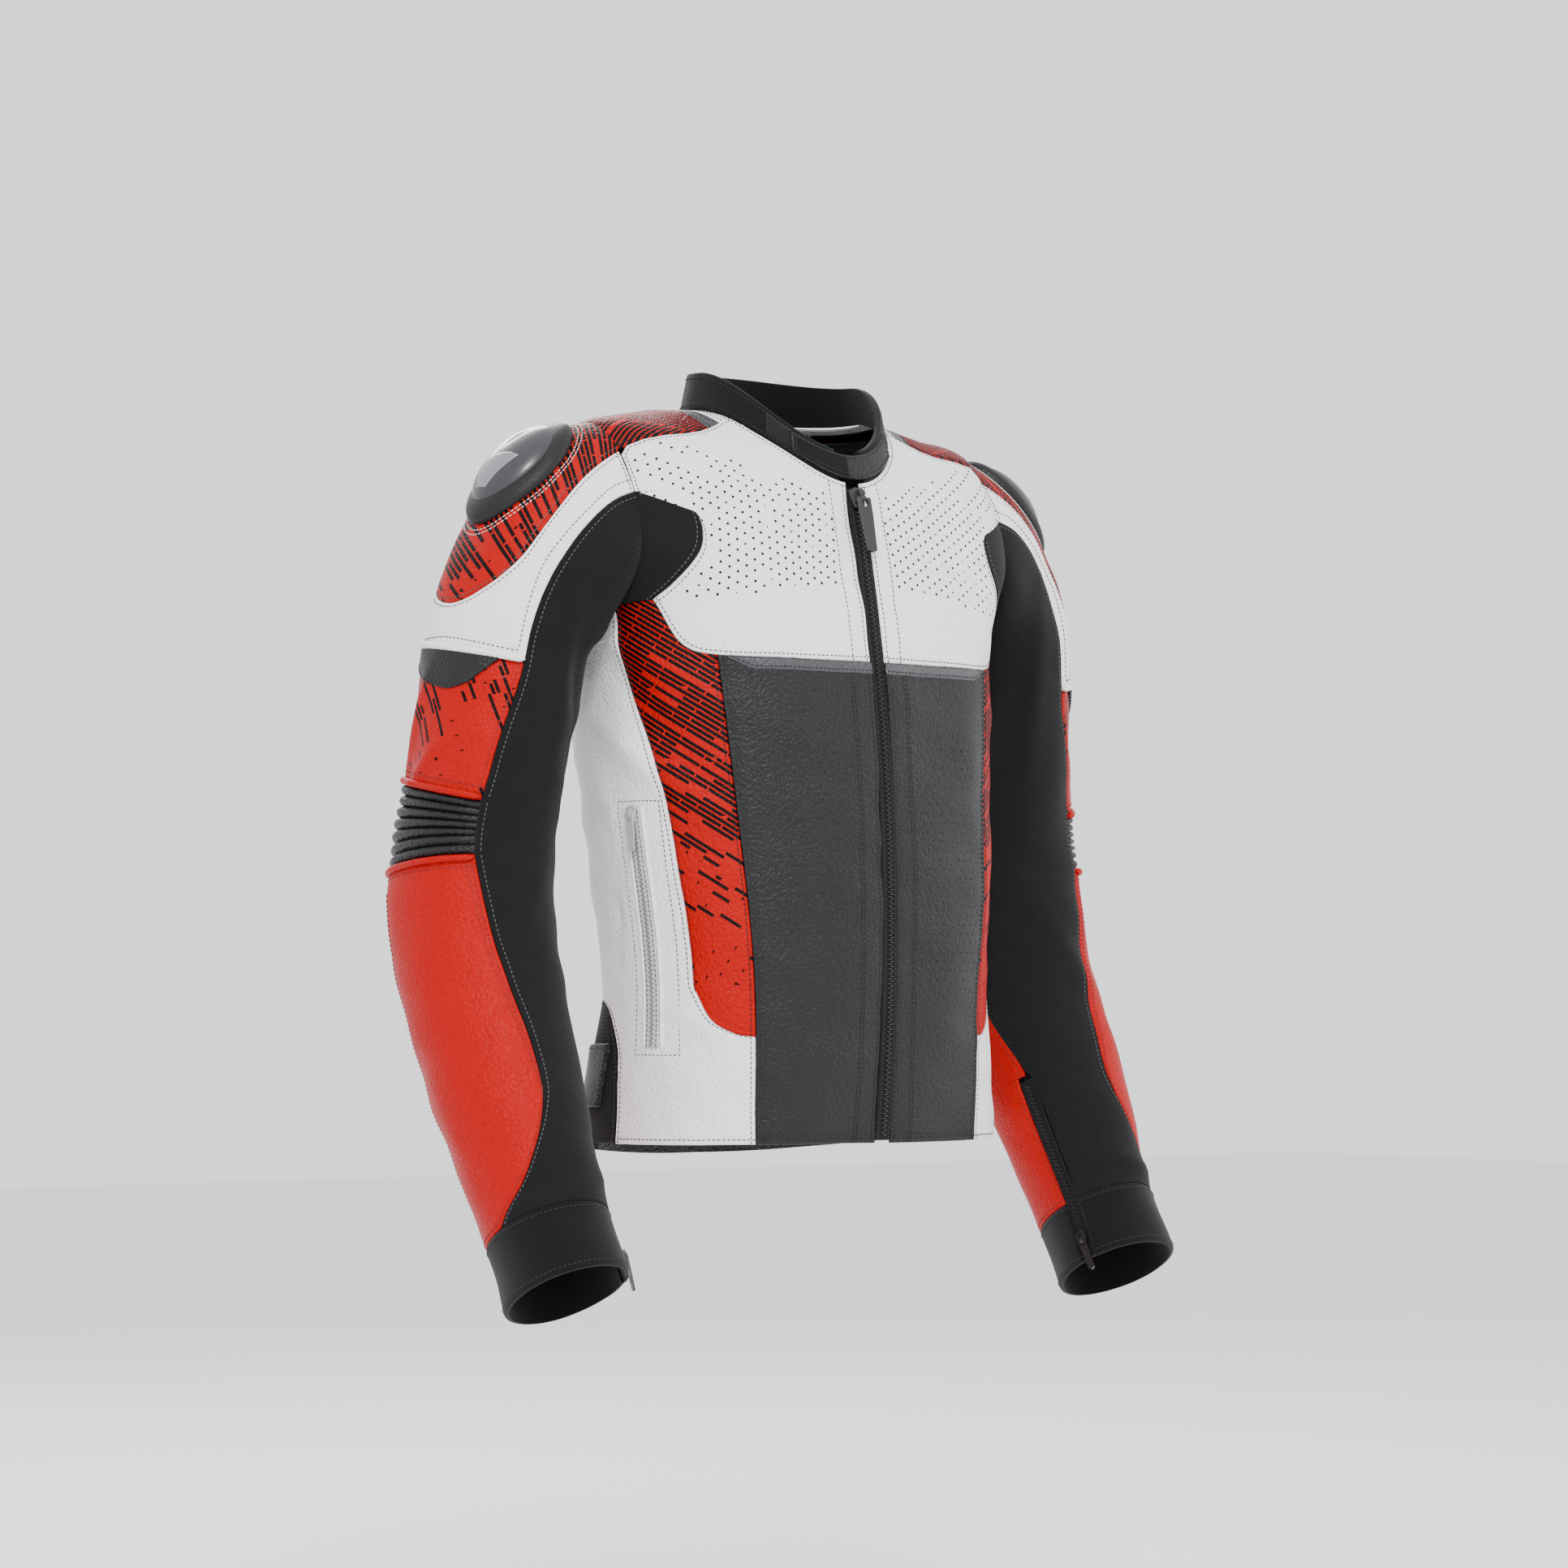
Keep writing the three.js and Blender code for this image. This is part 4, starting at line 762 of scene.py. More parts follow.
def discs(centres, normals, radius):
    """A six-sided dark disc for each punched hole, a hair above the face."""
    ref = unit(np.cross(normals, [0.3, 0.2, 0.93]))
    other = np.cross(normals, ref)
    t = np.arange(6) * np.pi / 3
    verts = centres[:, None] + 0.1 * normals[:, None] + radius * (
        ref[:, None] * np.cos(t)[None, :, None] + other[:, None] * np.sin(t)[None, :, None])
    return verts.reshape(-1, 3), [(np.arange(6)[None] + 6 * np.arange(len(centres))[:, None])]


# %% One object from several shapes
def sign_of(side):
    """The right-hand pieces are mirror copies in x."""
    return -1 if side == "right" else 1


def piece(name, shapes, sign=1, uv=None, ink=None):
    """Joins shapes, each (vertices in mm, list of face arrays, material), into one mesh in metres at its place. A
    sign of -1 makes the right-hand copy. uv and ink belong to the first shape's vertices."""
    verts, faces, mats, used, start = [], [], [], [], 0
    for v, f, m in shapes:
        if m not in used:
            used.append(m)
        for arr in f if isinstance(f, list) else [f]:
            arr = arr + start
            faces += (arr if sign > 0 else arr[:, ::-1]).tolist()
            mats += [used.index(m)] * len(arr)
        verts.append(v)
        start += len(v)
    v = np.concatenate(verts) * [sign, 1, 1] / 1000 - [0, 0, NECK_SEAT / 1000]
    me = bpy.data.meshes.new(name)
    me.from_pydata(v.tolist(), [], faces)
    for m in used:
        me.materials.append(m)
    me.polygons.foreach_set("material_index", mats)
    me.polygons.foreach_set("use_smooth", np.ones(len(mats), bool))
    full = np.zeros((len(v), 2))
    if uv is not None:
        full[: len(uv)] = uv
    corner = np.empty(len(me.loops), np.int32)
    me.loops.foreach_get("vertex_index", corner)
    me.uv_layers.new(name="cut").data.foreach_set("uv", full[corner].ravel())
    if ink is not None:
        amount = np.zeros(len(v))
        amount[: len(ink)] = ink
        me.attributes.new("ink", "FLOAT", "POINT").data.foreach_set("value", amount)
    me.update()
    me.set_sharp_from_angle(angle=math.radians(48))
    o = bpy.data.objects.new(name, me)
    bpy.context.scene.collection.objects.link(o)
    return o


def sewn(g, rows, material, pitch=PITCH, length=STITCH, radius=THREAD):
    """Stitch rows for a panel: rows lists (edge, inset in mm)."""
    out = []
    for edge, inset in rows:
        c, n, t = resample(*path_at(g, edge, inset), pitch)
        if len(c):
            out.append((*capsules(c, n, t, length, radius), material))
    return out


print("helpers ready")

# %% [markdown]
# ## The body's panels
# The panels are laid one after another. Seams carry one or two rows of stitches a few millimetres in from the edge,
# grey on white leather and black on dark leather, as a twin needle machine leaves them.

# %% Charts: how a flat cut maps on to a form
def chart(g, tilt=0.0, scale=(0.155, 1.0), turn_scale=None):
    """UV in metres: x grows round the form and y up it, then both are turned by the tilt in degrees, so that dashes
    printed along x run down towards the front."""
    if g["form"] is sleeve:
        x, y = np.radians(g["p"]) * 0.056, -g["q"] * 0.66
    else:
        x, y = -np.radians(g["p"]) * scale[0], g["base"][..., 2] / 1000
    c, s = math.cos(math.radians(tilt)), math.sin(math.radians(tilt))
    uv = np.stack([x * c - y * s, x * s + y * c], -1).reshape(-1, 2)
    return np.concatenate([uv, uv])


def panel(name, form, fill, material, slot, body_name, side=None, thread=None, rows=(), extra=None, ink=None,
          tilt=0.0, replaces=True, **how):
    """Lays one panel, sews it, adds any extra shapes, and rides it on its body."""
    sign = sign_of(side)
    g = lay(form, fill, sign=sign, **how)
    shapes = [(*closed_sheet(g), material)]
    if thread:
        shapes += sewn(g, rows, thread)
    if extra:
        shapes += extra(g)
    amount = None
    if ink is not None:
        amount = ink(g).reshape(-1)
        amount = np.concatenate([amount, amount])
    full = name if side is None else f"{name}_{side}"
    o = piece(f"{full}_made", shapes, sign, chart(g, tilt), amount)
    if replaces:
        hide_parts(full)
    if body_name:
        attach(o, body_name if side is None or body_name == "torso" else f"{body_name}_{side}")
    return o


ALL_ROUND = ("left", "right", "bottom", "top")
SIDES = ("left", "right")


def double(*edges):
    return [(e, d) for e in edges for d in (3.3, 6.4)]


def single(*edges):
    return [(e, 3.4) for e in edges]


# %% Yokes, with punched holes
def holes(g, inside, pitch=(6.6, 7.0), radius=1.15, tilt=30, clear=11, stagger=0.5, material=None):
    """Punched holes on a slanting lattice seen square on: each lies on the tangent plane of the nearest grid point,
    where inside(x, z) is true and every seam is further off than the clear distance."""
    i, j = np.meshgrid(np.arange(-90, 90), np.arange(-90, 90))
    u, w = (i + stagger * (j % 2)) * pitch[0], j * pitch[1]
    c, s = math.cos(math.radians(tilt)), math.sin(math.radians(tilt))
    x, z = (u * c - w * s).ravel(), (u * s + w * c).ravel() + 300
    ok = inside(x, z)
    x, z = x[ok], z[ok]
    face, n, d = g["face"].reshape(-1, 3), g["n"].reshape(-1, 3), g["d"].ravel()
    near = np.array([((face[:, 0] - a) ** 2 + (face[:, 2] - b) ** 2).argmin() for a, b in zip(x, z)], int)
    hit = (np.hypot(face[near, 0] - x, face[near, 2] - z) < 3.5) & (d[near] > clear)
    x, z, near = x[hit], z[hit], near[hit]
    v, m = face[near], n[near]
    y = v[:, 1] - (m[:, 0] * (x - v[:, 0]) + m[:, 2] * (z - v[:, 2])) / m[:, 1]
    return [(*discs(np.stack([x, y, z], -1), m, radius), material or HOLE)]


def front_holes(g):
    """The chest is plain in a band above the seam, beside the zip and near the neck."""
    return holes(g, lambda x, z: (x > 24) & (z > 398 - 0.12 * x) & (z < 452 + 0.35 * x))


for side in SIDES:
    panel("yoke_front", body, body_patches["yoke_front"], WHITE, "white_leather", "torso", side,
          GREY_THREAD, single("bottom", "right", "top") + [("left", 3.2), ("left", 15.0)], extra=front_holes, step=3.6)
    panel("chest_stretch", body, body_patches["chest_stretch"], STRETCH, "stretch_textile", "torso", side,
          DARK_THREAD, [("left", 4.6), ("top", 4.6)], step=3.0, running=("right",))

bpy.context.view_layer.update()

# %% Belly, flank and side panels
def belly_holes(g):
    """Two upright bands of punched holes."""
    def bands(x, z):
        return (z > 95) & (z < 290) & (((x > 34) & (x < 56)) | ((x > 70) & (x < 92)))
    return holes(g, bands, pitch=(7.4, 6.6), radius=0.75, tilt=0)


def roll_along(form, line, radius, lift, material, sides=10, count=150, sign=1):
    """A soft roll: a circle carried along a line of form parameters, closed at its ends by shrinking it."""
    s = np.linspace(0, 1, count)
    p, q = line(s)
    n = outward(form, p, q)
    centre = form(p, q)
    centre = centre + n * (lift + folds(centre * [sign, 1, 1]))[:, None]
    ahead = unit(np.gradient(centre, axis=0))
    side = np.cross(ahead, n)
    turn = np.arange(sides) * 2 * np.pi / sides
    r = radius * np.sqrt(np.clip(np.minimum(s, 1 - s) * count / 3, 0.02, 1))
    verts = centre[:, None] + r[:, None, None] * (side[:, None] * np.cos(turn)[None, :, None]
                                                   + n[:, None] * np.sin(turn)[None, :, None])
    at = np.arange(count * sides).reshape(count, sides)
    nxt = np.roll(at, -1, axis=1)
    caps = np.stack([at[0][::-1], at[-1]])
    return verts.reshape(-1, 3), [quads(at[:-1], nxt[:-1], nxt[1:], at[1:])[:, ::-1], caps[:, ::-1]], material


def flank_ink(g):
    """From solid rows under the arm to a few dashes at the waist."""
    z = g["base"][..., 2]
    return np.clip((z - 85) / 270, 0, 1) ** 0.95 * 0.95 + 0.02


def pocket_edges(g):
    """A stitched box round the pocket zip, and a raised lip each side of it."""
    corners = np.array([(-3.2, -0.02), (8.5, -0.02), (8.5, 1.03), (-6.0, 1.03), (-6.0, -0.02), (-3.2, -0.02)])
    s = np.linspace(0, 5, 301)
    off, b = np.interp(s, range(6), corners[:, 0]), np.interp(s, range(6), corners[:, 1])
    angle, v = pocket_line(b)
    angle = angle - off
    n = outward(body, angle, v)
    base = body(angle, v)
    p = base + n * (0.35 + folds(base * [g["sign"], 1, 1]))[:, None]
    shapes = [(*capsules(*resample(p, n, PITCH, 1.0), STITCH, THREAD), GREY_THREAD)]
    for off in (-2.9, 2.9):
        lip = lambda s: (pocket_line(s)[0] + off, pocket_line(s)[1])
        shapes.append(roll_along(body, lip, 1.3, 0.9, WHITE, sign=g["sign"]))
    return shapes


for side in SIDES:
    panel("belly_panel", body, body_patches["belly_panel"], CHARCOAL, "charcoal_leather", "torso", side,
          BLACK_THREAD, double("right", "bottom") + [("left", 3.2), ("left", 16.0), ("left", 18.6)],
          extra=belly_holes, step=3.6)
    panel("flank_print", body, body_patches["flank_print"], RED, "red_printed_leather", "torso", side,
          BLACK_THREAD, single("right", "left"), ink=flank_ink, tilt=32, step=3.4)
    panel("side_panel", body, body_patches["side_panel"], WHITE, "white_leather", "torso", side,
          GREY_THREAD, single("bottom", "left", "right", "top"), extra=pocket_edges, step=3.6, crease=1.3)
    panel("waist_gusset", body, body_patches["waist_gusset"], STRETCH, "stretch_textile", "torso", side,
          BLACK_THREAD, single("top", "left"), step=4.0)
print("flank and side panels made")

# %% Back panels
def back_holes(g):
    return holes(g, lambda x, z: (abs(x) < 100) & (z > 400) & (z < 485))


panel("back_panel", body, body_patches["back_panel"], CHARCOAL, "charcoal_leather", "torso", None,
      BLACK_THREAD, double(*ALL_ROUND), step=3.8)
panel("yoke_back", body, body_patches["yoke_back"], WHITE, "white_leather", "torso", None,
      GREY_THREAD, single(*ALL_ROUND), extra=back_holes, step=3.8)
print("back made")

# %% [markdown]
# ## Shoulders
# The saddle over each shoulder is red printed leather with a grey patch towards the neck and a white edge against
# the collar. The three lie next to each other on the same patch, split by its height.

# %% The saddles
def strip(fill, b0, b1):
    """The part of a patch between two heights."""
    return lambda a, b: fill(a, b0 + (b1 - b0) * b)


def saddle_ink(g):
    return 0.86 + 0 * g["p"]


for side in SIDES:
    fill = body_patches["shoulder_saddle"]
    panel("shoulder_saddle", body, strip(fill, 0, 0.63), RED, "red_printed_leather", "torso", side,
          BLACK_THREAD, single("left", "right"), ink=saddle_ink, tilt=100, step=3.4, running=("bottom",))
    panel("saddle_patch", body, strip(fill, 0.63, 0.83), FOIL, "charcoal_leather", "torso", side,
          BLACK_THREAD, [("bottom", 2.6)], replaces=False, step=3.4)
    panel("saddle_neck", body, strip(fill, 0.83, 1.0), WHITE, "white_leather", "torso", side,
          GREY_THREAD, [("bottom", 3.0), ("top", 3.4)], replaces=False, step=3.4)
print("saddles made")

# %% [markdown]
# ## Overlays on the body
# A narrow grey foil strip lies on the dark leather just under the chest seam, pointed at its outer end, and the
# straps at the rear of each side are stitched leather.

# %% Foil strips and waist straps
def thin(d):
    """A flat strap with softly broken edges: a quarter round 0.9 mm deep over the outer 1.1 mm."""
    x = np.clip(d / 1.1, 0, 1)
    return -0.9 * (1 - np.sqrt(np.maximum(0, 1 - (1 - x) ** 2)))


def under_yoke(a, b):
    """Runs beside the chest seam: the seam's own line, dropped by up to 8 mm and narrowing to its outer end."""
    top = chain(yoke_foot(0, 2))(np.clip(a * 0.93, 0, 1))
    drop = 0.0016 + (1 - b) * 0.0165 * np.minimum(1, (1 - a) * 6 + 0.06)
    return np.stack([top[..., 0] + 0 * b, top[..., 1] - drop], -1)


for side in SIDES:
    panel("foil_strip", body, under_yoke, FOIL, "charcoal_leather", "torso", side, BLACK_THREAD, [("bottom", 2.2)],
          replaces=False, lift=1.0, thick=0.9, profile=thin, step=3.0)
    panel("waist_strap", body, span(93, 128, 0.05, 0.14), CHARCOAL, "charcoal_leather", "waist_strap", side,
          BLACK_THREAD, [(e, 3.0) for e in ALL_ROUND], lift=3.6, thick=2.4, profile=thin, step=3.0)
print("straps made")

# %% [markdown]
# ## The collar
# The stand collar is neoprene with a soft jersey face, 4.5 mm thick, with rounded edges. A leather strap closes it
# over a hook and loop pad.

# %% Collar and strap
def padded_edge(d):
    """A fuller round for a thick, soft edge: a quarter circle over 2.2 mm."""
    x = np.clip(d / 2.2, 0, 1)
    return -2.0 * (1 - np.sqrt(np.maximum(0, 1 - (1 - x) ** 2))) + 0.25 * (1 - np.exp(-((d / 9) ** 2)))


def grip_pad(g):
    """The pad of loops under the strap, on the wearer's right of the opening."""
    pad = lay(collar_form, span(-41, -12, 0.2, 0.82), lift=0.75, thick=0.9, profile=thin, step=2.5, crease=0)
    return [(*closed_sheet(pad), LOOP)]


collar = panel("collar", collar_form, span(7, 353, 0.02, 1), NEOPRENE, "neoprene", "torso", None,
               BLACK_THREAD, [("top", 4.5), ("bottom", 3.4)], extra=grip_pad, thick=4.5,
               profile=padded_edge, step=3.4, crease=0.25)


def strap_fill(a, b):
    """The strap tapers a little towards its free end and its corners are cut."""
    x = -29 + 61 * a
    middle, half = 0.47, 0.36 * (0.82 + 0.18 * np.clip(a * 3, 0, 1))
    return np.stack([x + 0 * b, middle + (2 * b - 1) * half * np.ones_like(a)], -1)


def strap_patch(g):
    """A stitched patch of stretch knit on one end of the strap."""
    tip = lay(collar_form, lambda a, b: strap_fill(a * 0.42 + 0.02, b * 0.86 + 0.07), lift=4.1, thick=1.4,
              profile=thin, step=2.5, crease=0)
    return [(*closed_sheet(tip), STRETCH)] + sewn(tip, [(e, 1.6) for e in ALL_ROUND], BLACK_THREAD, 2.8, 1.9, 0.35)


panel("collar_tab", collar_form, strap_fill, CHARCOAL, "charcoal_leather", "collar_strap", None,
      BLACK_THREAD, [(e, 2.2) for e in ALL_ROUND], extra=strap_patch, lift=3.0, thick=2.3, profile=thin, step=2.8,
      crease=0)
print("collar made")

# %% [markdown]
# ## Zips
# A zip is a woven tape with a row of nylon teeth on each half. The teeth are short rounded bars set across the
# middle, one half a step behind the other, so that they mesh.

# %% The front, pocket and cuff zips
def teeth(points, normals, ahead, width, size, material, lift):
    """Bars across the tape, alternately a little to the left and to the right."""
    across = np.cross(ahead, normals)
    swing = np.where(np.arange(len(points)) % 2 == 0, 1, -1)[:, None] * 0.28 * width
    return (*capsules(points + across * swing, normals, across, width, size, raise_by=lift), material)


def flat(d):
    return 0.0 * d


def coil_of(form, line, material, width=3.0, size=0.72, pitch=1.7, lift=0.25, off=0.0):
    """Teeth along a line of form parameters, off mm above the form."""
    p, q = line(np.linspace(0, 1, 160))
    n = outward(form, p, q)
    pts, nn, t = resample(form(p, q) + n * off, n, pitch, 1.0)
    return teeth(pts, nn, t, width, size, material, lift)


def tape_fill(a, b):
    """The pocket zip's tape, 4.4 degrees of the body wide."""
    angle, v = pocket_line(1 - b)
    return np.stack([angle + (a - 0.5) * 4.4, v + 0 * a], -1)


panel("front_zip", zip_form, span(-6.6, 6.6, 2, 467), TAPE, "black_zip", "torso", None,
      BLACK_THREAD, [("left", 2.2), ("right", 2.2)], thick=2.0, lift=-0.2, profile=flat, step=3.2, crease=0,
      extra=lambda g: [coil_of(zip_form, lambda s: (0 * s, 5 + 450 * s), TEETH)])
for side in SIDES:
    panel("pocket_zip", body, tape_fill, WHITE_TAPE, "white_zip", "torso", side,
          GREY_THREAD, [("left", 1.6), ("right", 1.6)], lift=1.9, thick=1.6, profile=thin, step=3.0,
          extra=lambda g: [coil_of(body, pocket_line, WHITE_TEETH, 2.4, 0.6, 1.6, 0.2, 1.9)])
    panel("cuff_zip", sleeve, span(151.2, 162.8, 0.79, 1), TAPE, "black_zip", "forearm", side, None,
          lift=-0.1, thick=1.7, profile=flat, step=3.0, crease=0,
          extra=lambda g: [coil_of(sleeve, lambda s: (157 + 0 * s, 0.795 + 0.2 * s), TEETH, 2.4, 0.55, 1.6, 0.2)])
panel("trouser_zip", body, span(132, 228, 0.03, 0.07), TAPE, "black_zip", "torso", None, None, lift=-9.6, thick=1.8,
      profile=thin, step=3.4, crease=0)
print("zips made")

# %% [markdown]
# ## The sleeves
# A sleeve is sewn from a red shoulder panel, a white band round it with a rolled hem, a red upper arm, a long black
# stretch panel down the front and inside, a ribbed elbow, a red forearm and a neoprene cuff. What crosses the
# armhole or the elbow is not bent: it keeps the shape it is made in and rides on no body.


def bend_at_armhole(o, side):
    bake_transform(o)


def bend_at_elbow(o, side):
    lo, hi = tube_row(0.458)[:3], tube_row(0.527)[:3]
    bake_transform(o)


def sleeve_ink(g):
    """Dense on top of the shoulder and sparser down the arm."""
    return np.clip(0.86 - 2.0 * (g["q"] - 0.03), 0.4, 0.95)


def bicep_ink(g):
    """From some dashes under the band to a few at the elbow."""
    return np.clip(0.46 - 2.0 * (g["q"] - HEM), 0.05, 0.5)


# %% Shoulder, band and upper arm
patch_corner = patch(chain(seam((30, 0.312), (14, 0.323), (-6, 0.318), (-22, 0.308))()),
                     chain(seam((-22, 0.308), (-70, 0.272))()), chain(seam((52, 0.272), (-70, 0.272))()),
                     chain(seam((30, 0.312), (52, 0.272))()))


def rolled_hem(g, turn0, turn1, t, radius, lift, material):
    """A soft roll round the sleeve at t, where a panel's edge is turned under."""
    return roll_along(sleeve, lambda s: (turn0 + (turn1 - turn0) * s, t + 0 * s), radius, lift, material,
                      sign=g["sign"])


def pointed_patch(g):
    """A dark patch under the band, stitched on its free edges."""
    flap = lay(sleeve, patch_corner, lift=2.2, thick=1.6, profile=thin, step=3.0, sign=g["sign"])
    return [(*closed_sheet(flap), CHARCOAL)] + sewn(flap, [(e, 2.2) for e in ("bottom", "left", "right")],
                                                    BLACK_THREAD)


for side in SIDES:
    o = panel("shoulder_print", sleeve, sleeve_patches["shoulder_print"], RED, "red_printed_leather", None, side,
              GREY_THREAD, single("left", "right", "top"), ink=sleeve_ink, tilt=28, step=3.4, running=("bottom",))
    bend_at_armhole(o, side)
    o = panel("shoulder_band", sleeve, sleeve_patches["shoulder_band"], WHITE, "white_leather", None, side,
              GREY_THREAD, single("bottom", "left", "right") + [("top", 9.0)], step=3.6,
              extra=lambda g: [rolled_hem(g, 68, -160, 0.2715, 2.6, 1.3, WHITE)])
    bend_at_armhole(o, side)
    panel("bicep_print", sleeve, sleeve_patches["bicep_print"], RED, "red_printed_leather", "upper_arm", side,
          RED_THREAD, single("left", "right") + [("top", 9.5)], ink=bicep_ink, tilt=63, step=3.4, crease=1.2,
          extra=lambda g: [rolled_hem(g, 54, -164, 0.4455, 2.6, 0.9, PLAIN_RED)] + pointed_patch(g))
    o = panel("arm_stretch_upper", sleeve, sleeve_patches["arm_stretch_upper"], STRETCH, "stretch_textile", None, side,
              DARK_THREAD, [("left", 4.6), ("right", 4.6)], step=3.6, crease=1.2, running=("bottom", "top"))
    bend_at_armhole(o, side)
print("upper sleeves made")

# %% [markdown]
# ## Elbow
# The elbow's leather is gathered into seven ribs over elastic. Across them the height is a rounded wave, high and
# wide on the ribs and narrow in the valleys, and it dies out towards the seams at each end.

# %% Ribs and elbow stretch
RIBS = 7
for side in SIDES:
    sign = sign_of(side)
    g = lay(sleeve, sleeve_patches["elbow_ribs"], step=4.0, profile=flat, sign=sign)
    a = g["a"][0]
    A, B = np.meshgrid(a, np.linspace(0, 1, RIBS * 12 + 1))
    pq = g["fill"](A, B)
    base = sleeve(pq[..., 0], pq[..., 1])
    n = outward(sleeve, pq[..., 0], pq[..., 1])
    edge = np.interp(A, a, np.minimum(g["edges"]["left"][0], g["edges"]["right"][0]))
    wave = np.abs(np.sin(np.pi * RIBS * B)) ** 0.6
    rise = 4.0 * wave * (0.4 + 0.6 * np.clip(edge / 14, 0, 1)) - 2.3 + 0.5 * folds(base * [sign, 1, 1])
    ribs = dict(a=A, b=B, p=pq[..., 0], q=pq[..., 1], base=base, n=n, face=base + n * rise[..., None],
                under=base - n * 3.6, form=sleeve)
    o = piece(f"elbow_ribs_{side}_made", [(*closed_sheet(ribs), CHARCOAL)], sign, chart(ribs))
    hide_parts(f"elbow_ribs_{side}")
    bend_at_elbow(o, side)
    o = panel("elbow_stretch", sleeve, sleeve_patches["elbow_stretch"], STRETCH, "stretch_textile", None, side,
              DARK_THREAD, [("left", 4.6), ("right", 4.6)], step=3.6, crease=1.2, running=("bottom", "top"))
    bend_at_elbow(o, side)
print("elbows made")

# %% Forearm and cuff
def outer_seam(g):
    """Two rows of stitches down the middle of the forearm's panel."""
    shapes = []
    s = np.linspace(0, 1, 300)
    for off in (-1.7, 1.7):
        turn, t = -34 - 14 * s + off, 0.56 + 0.35 * s
        n = outward(sleeve, turn, t)
        c = sleeve(turn, t)
        c = c + n * (0.5 + folds(c * [g["sign"], 1, 1]))[:, None]
        shapes.append((*capsules(*resample(c, n, PITCH), STITCH, THREAD), RED_THREAD))
    return shapes


for side in SIDES:
    panel("forearm_panel", sleeve, sleeve_patches["forearm_panel"], PLAIN_RED, "red_printed_leather", "forearm", side,
          RED_THREAD, double("left") + single("right", "top") + [("bottom", 9.0)], step=3.6,
          extra=lambda g: [rolled_hem(g, 54, -164, 0.5395, 2.6, 0.9, PLAIN_RED)] + outer_seam(g))
    panel("arm_stretch_lower", sleeve, sleeve_patches["arm_stretch_lower"], STRETCH, "stretch_textile", "forearm",
          side, DARK_THREAD, [("left", 4.6)], step=3.6, crease=1.2, running=("bottom",))
    panel("cuff", sleeve, sleeve_patches["cuff"], NEOPRENE, "neoprene", "forearm", side, BLACK_THREAD,
          [("bottom", 3.4), ("top", 4.0)], thick=3.2, profile=padded_edge, step=3.6, crease=0.8)
print("forearms made")

# %% [markdown]
# ## Shoulder cups
# The cup is a hard moulded shell on a padded leather ring, with a silver insert let into its lower half. All three
# are drawn on one oval: x across and y down, both from -1 to 1.

# %% The cup's ring, shell and insert
CUP_TURN, CUP_MID, CUP_REACH = 30, 0.088, 0.064  # the oval's half width in degrees; its middle and half height
SHELL_EDGE = 0.74  # radius of the hard shell on the oval


def oval(x, y):
    """Form parameters of a place on the cup's oval."""
    return np.stack([CUP_TURN * x, CUP_MID + CUP_REACH * y], -1)


def egg(phi):
    """Makes the oval narrower on one side."""
    return 1 - 0.10 * np.sin(phi + 0.5) ** 3


def dome(height, inner, outer):
    """Polar rings on the oval between two radii: form points, normals, heights over them and the grid's shape. The
    height depends on rho, which runs from 0 to 1 across a ring or from the middle of a shell to its edge."""
    even, close = np.linspace(inner, outer * 0.9, 16), outer * (1 - 0.1 * (1 - np.linspace(0, 1, 8)) ** 2)
    rings = np.concatenate([even, close[1:]])
    phi = np.arange(72) * 2 * np.pi / 72
    R, PHI = np.meshgrid(rings, phi, indexing="ij")
    x, y = R * np.cos(PHI) * egg(PHI), R * np.sin(PHI)
    pq = oval(x, y)
    base, n = sleeve(pq[..., 0], pq[..., 1]), outward(sleeve, pq[..., 0], pq[..., 1])
    rho = np.clip((R - inner) / (outer - inner), 0, 1) if inner > 0.1 else np.clip(R / outer, 0, 1)
    return base, n, height(rho, x, y), R.shape


def cap_mesh(base, n, lift, floor, shape, hollow=False):
    """Face rings and floor rings joined at the outer edge, and at the inner edge or by a closing face."""
    rings, spokes = shape
    face = (base + n * lift[..., None]).reshape(-1, 3)
    under = (base + n * np.broadcast_to(floor, lift.shape)[..., None]).reshape(-1, 3)
    at = np.arange(rings * spokes).reshape(rings, spokes)
    nxt = np.roll(at, -1, axis=1)
    low, low_nxt = at + rings * spokes, nxt + rings * spokes
    faces = [quads(at[:-1], at[1:], nxt[1:], nxt[:-1]), quads(low[:-1], low_nxt[:-1], low_nxt[1:], low[1:]),
             quads(at[-1], low[-1], low_nxt[-1], nxt[-1])]
    if hollow:
        faces.append(quads(at[0], nxt[0], low_nxt[0], low[0]))
        caps = []
    else:
        caps = [np.stack([at[0], low[0][::-1]])]
    verts = np.concatenate([face, under])
    f = np.concatenate(faces)
    du, dv = verts[at[8, 1]] - verts[at[8, 0]], verts[at[9, 0]] - verts[at[8, 0]]
    if np.dot(np.cross(dv, du), n[8, 0]) < 0:
        f, caps = f[:, ::-1], [c[:, ::-1] for c in caps]
    return verts, [f] + caps


def ring_height(rho, x, y):
    """Half of an ellipse over the ring's width, 7 mm high on 2 mm."""
    return 2.0 + 7.0 * np.sqrt(np.maximum(0, 1 - ((rho - 0.42) / 0.6) ** 2))


def shell_height(rho, x, y):
    """A dome with a crisp rim and a shallow crease down its upper half."""
    crease = np.exp(-(((x + 0.3 * (y + 0.2)) / 0.06) ** 2)) * np.clip(-4 * y - 0.2, 0, 1) * (1 - rho)
    return 7.5 + 9.0 * (1 - rho**2.4) ** 0.6 - 1.4 * crease


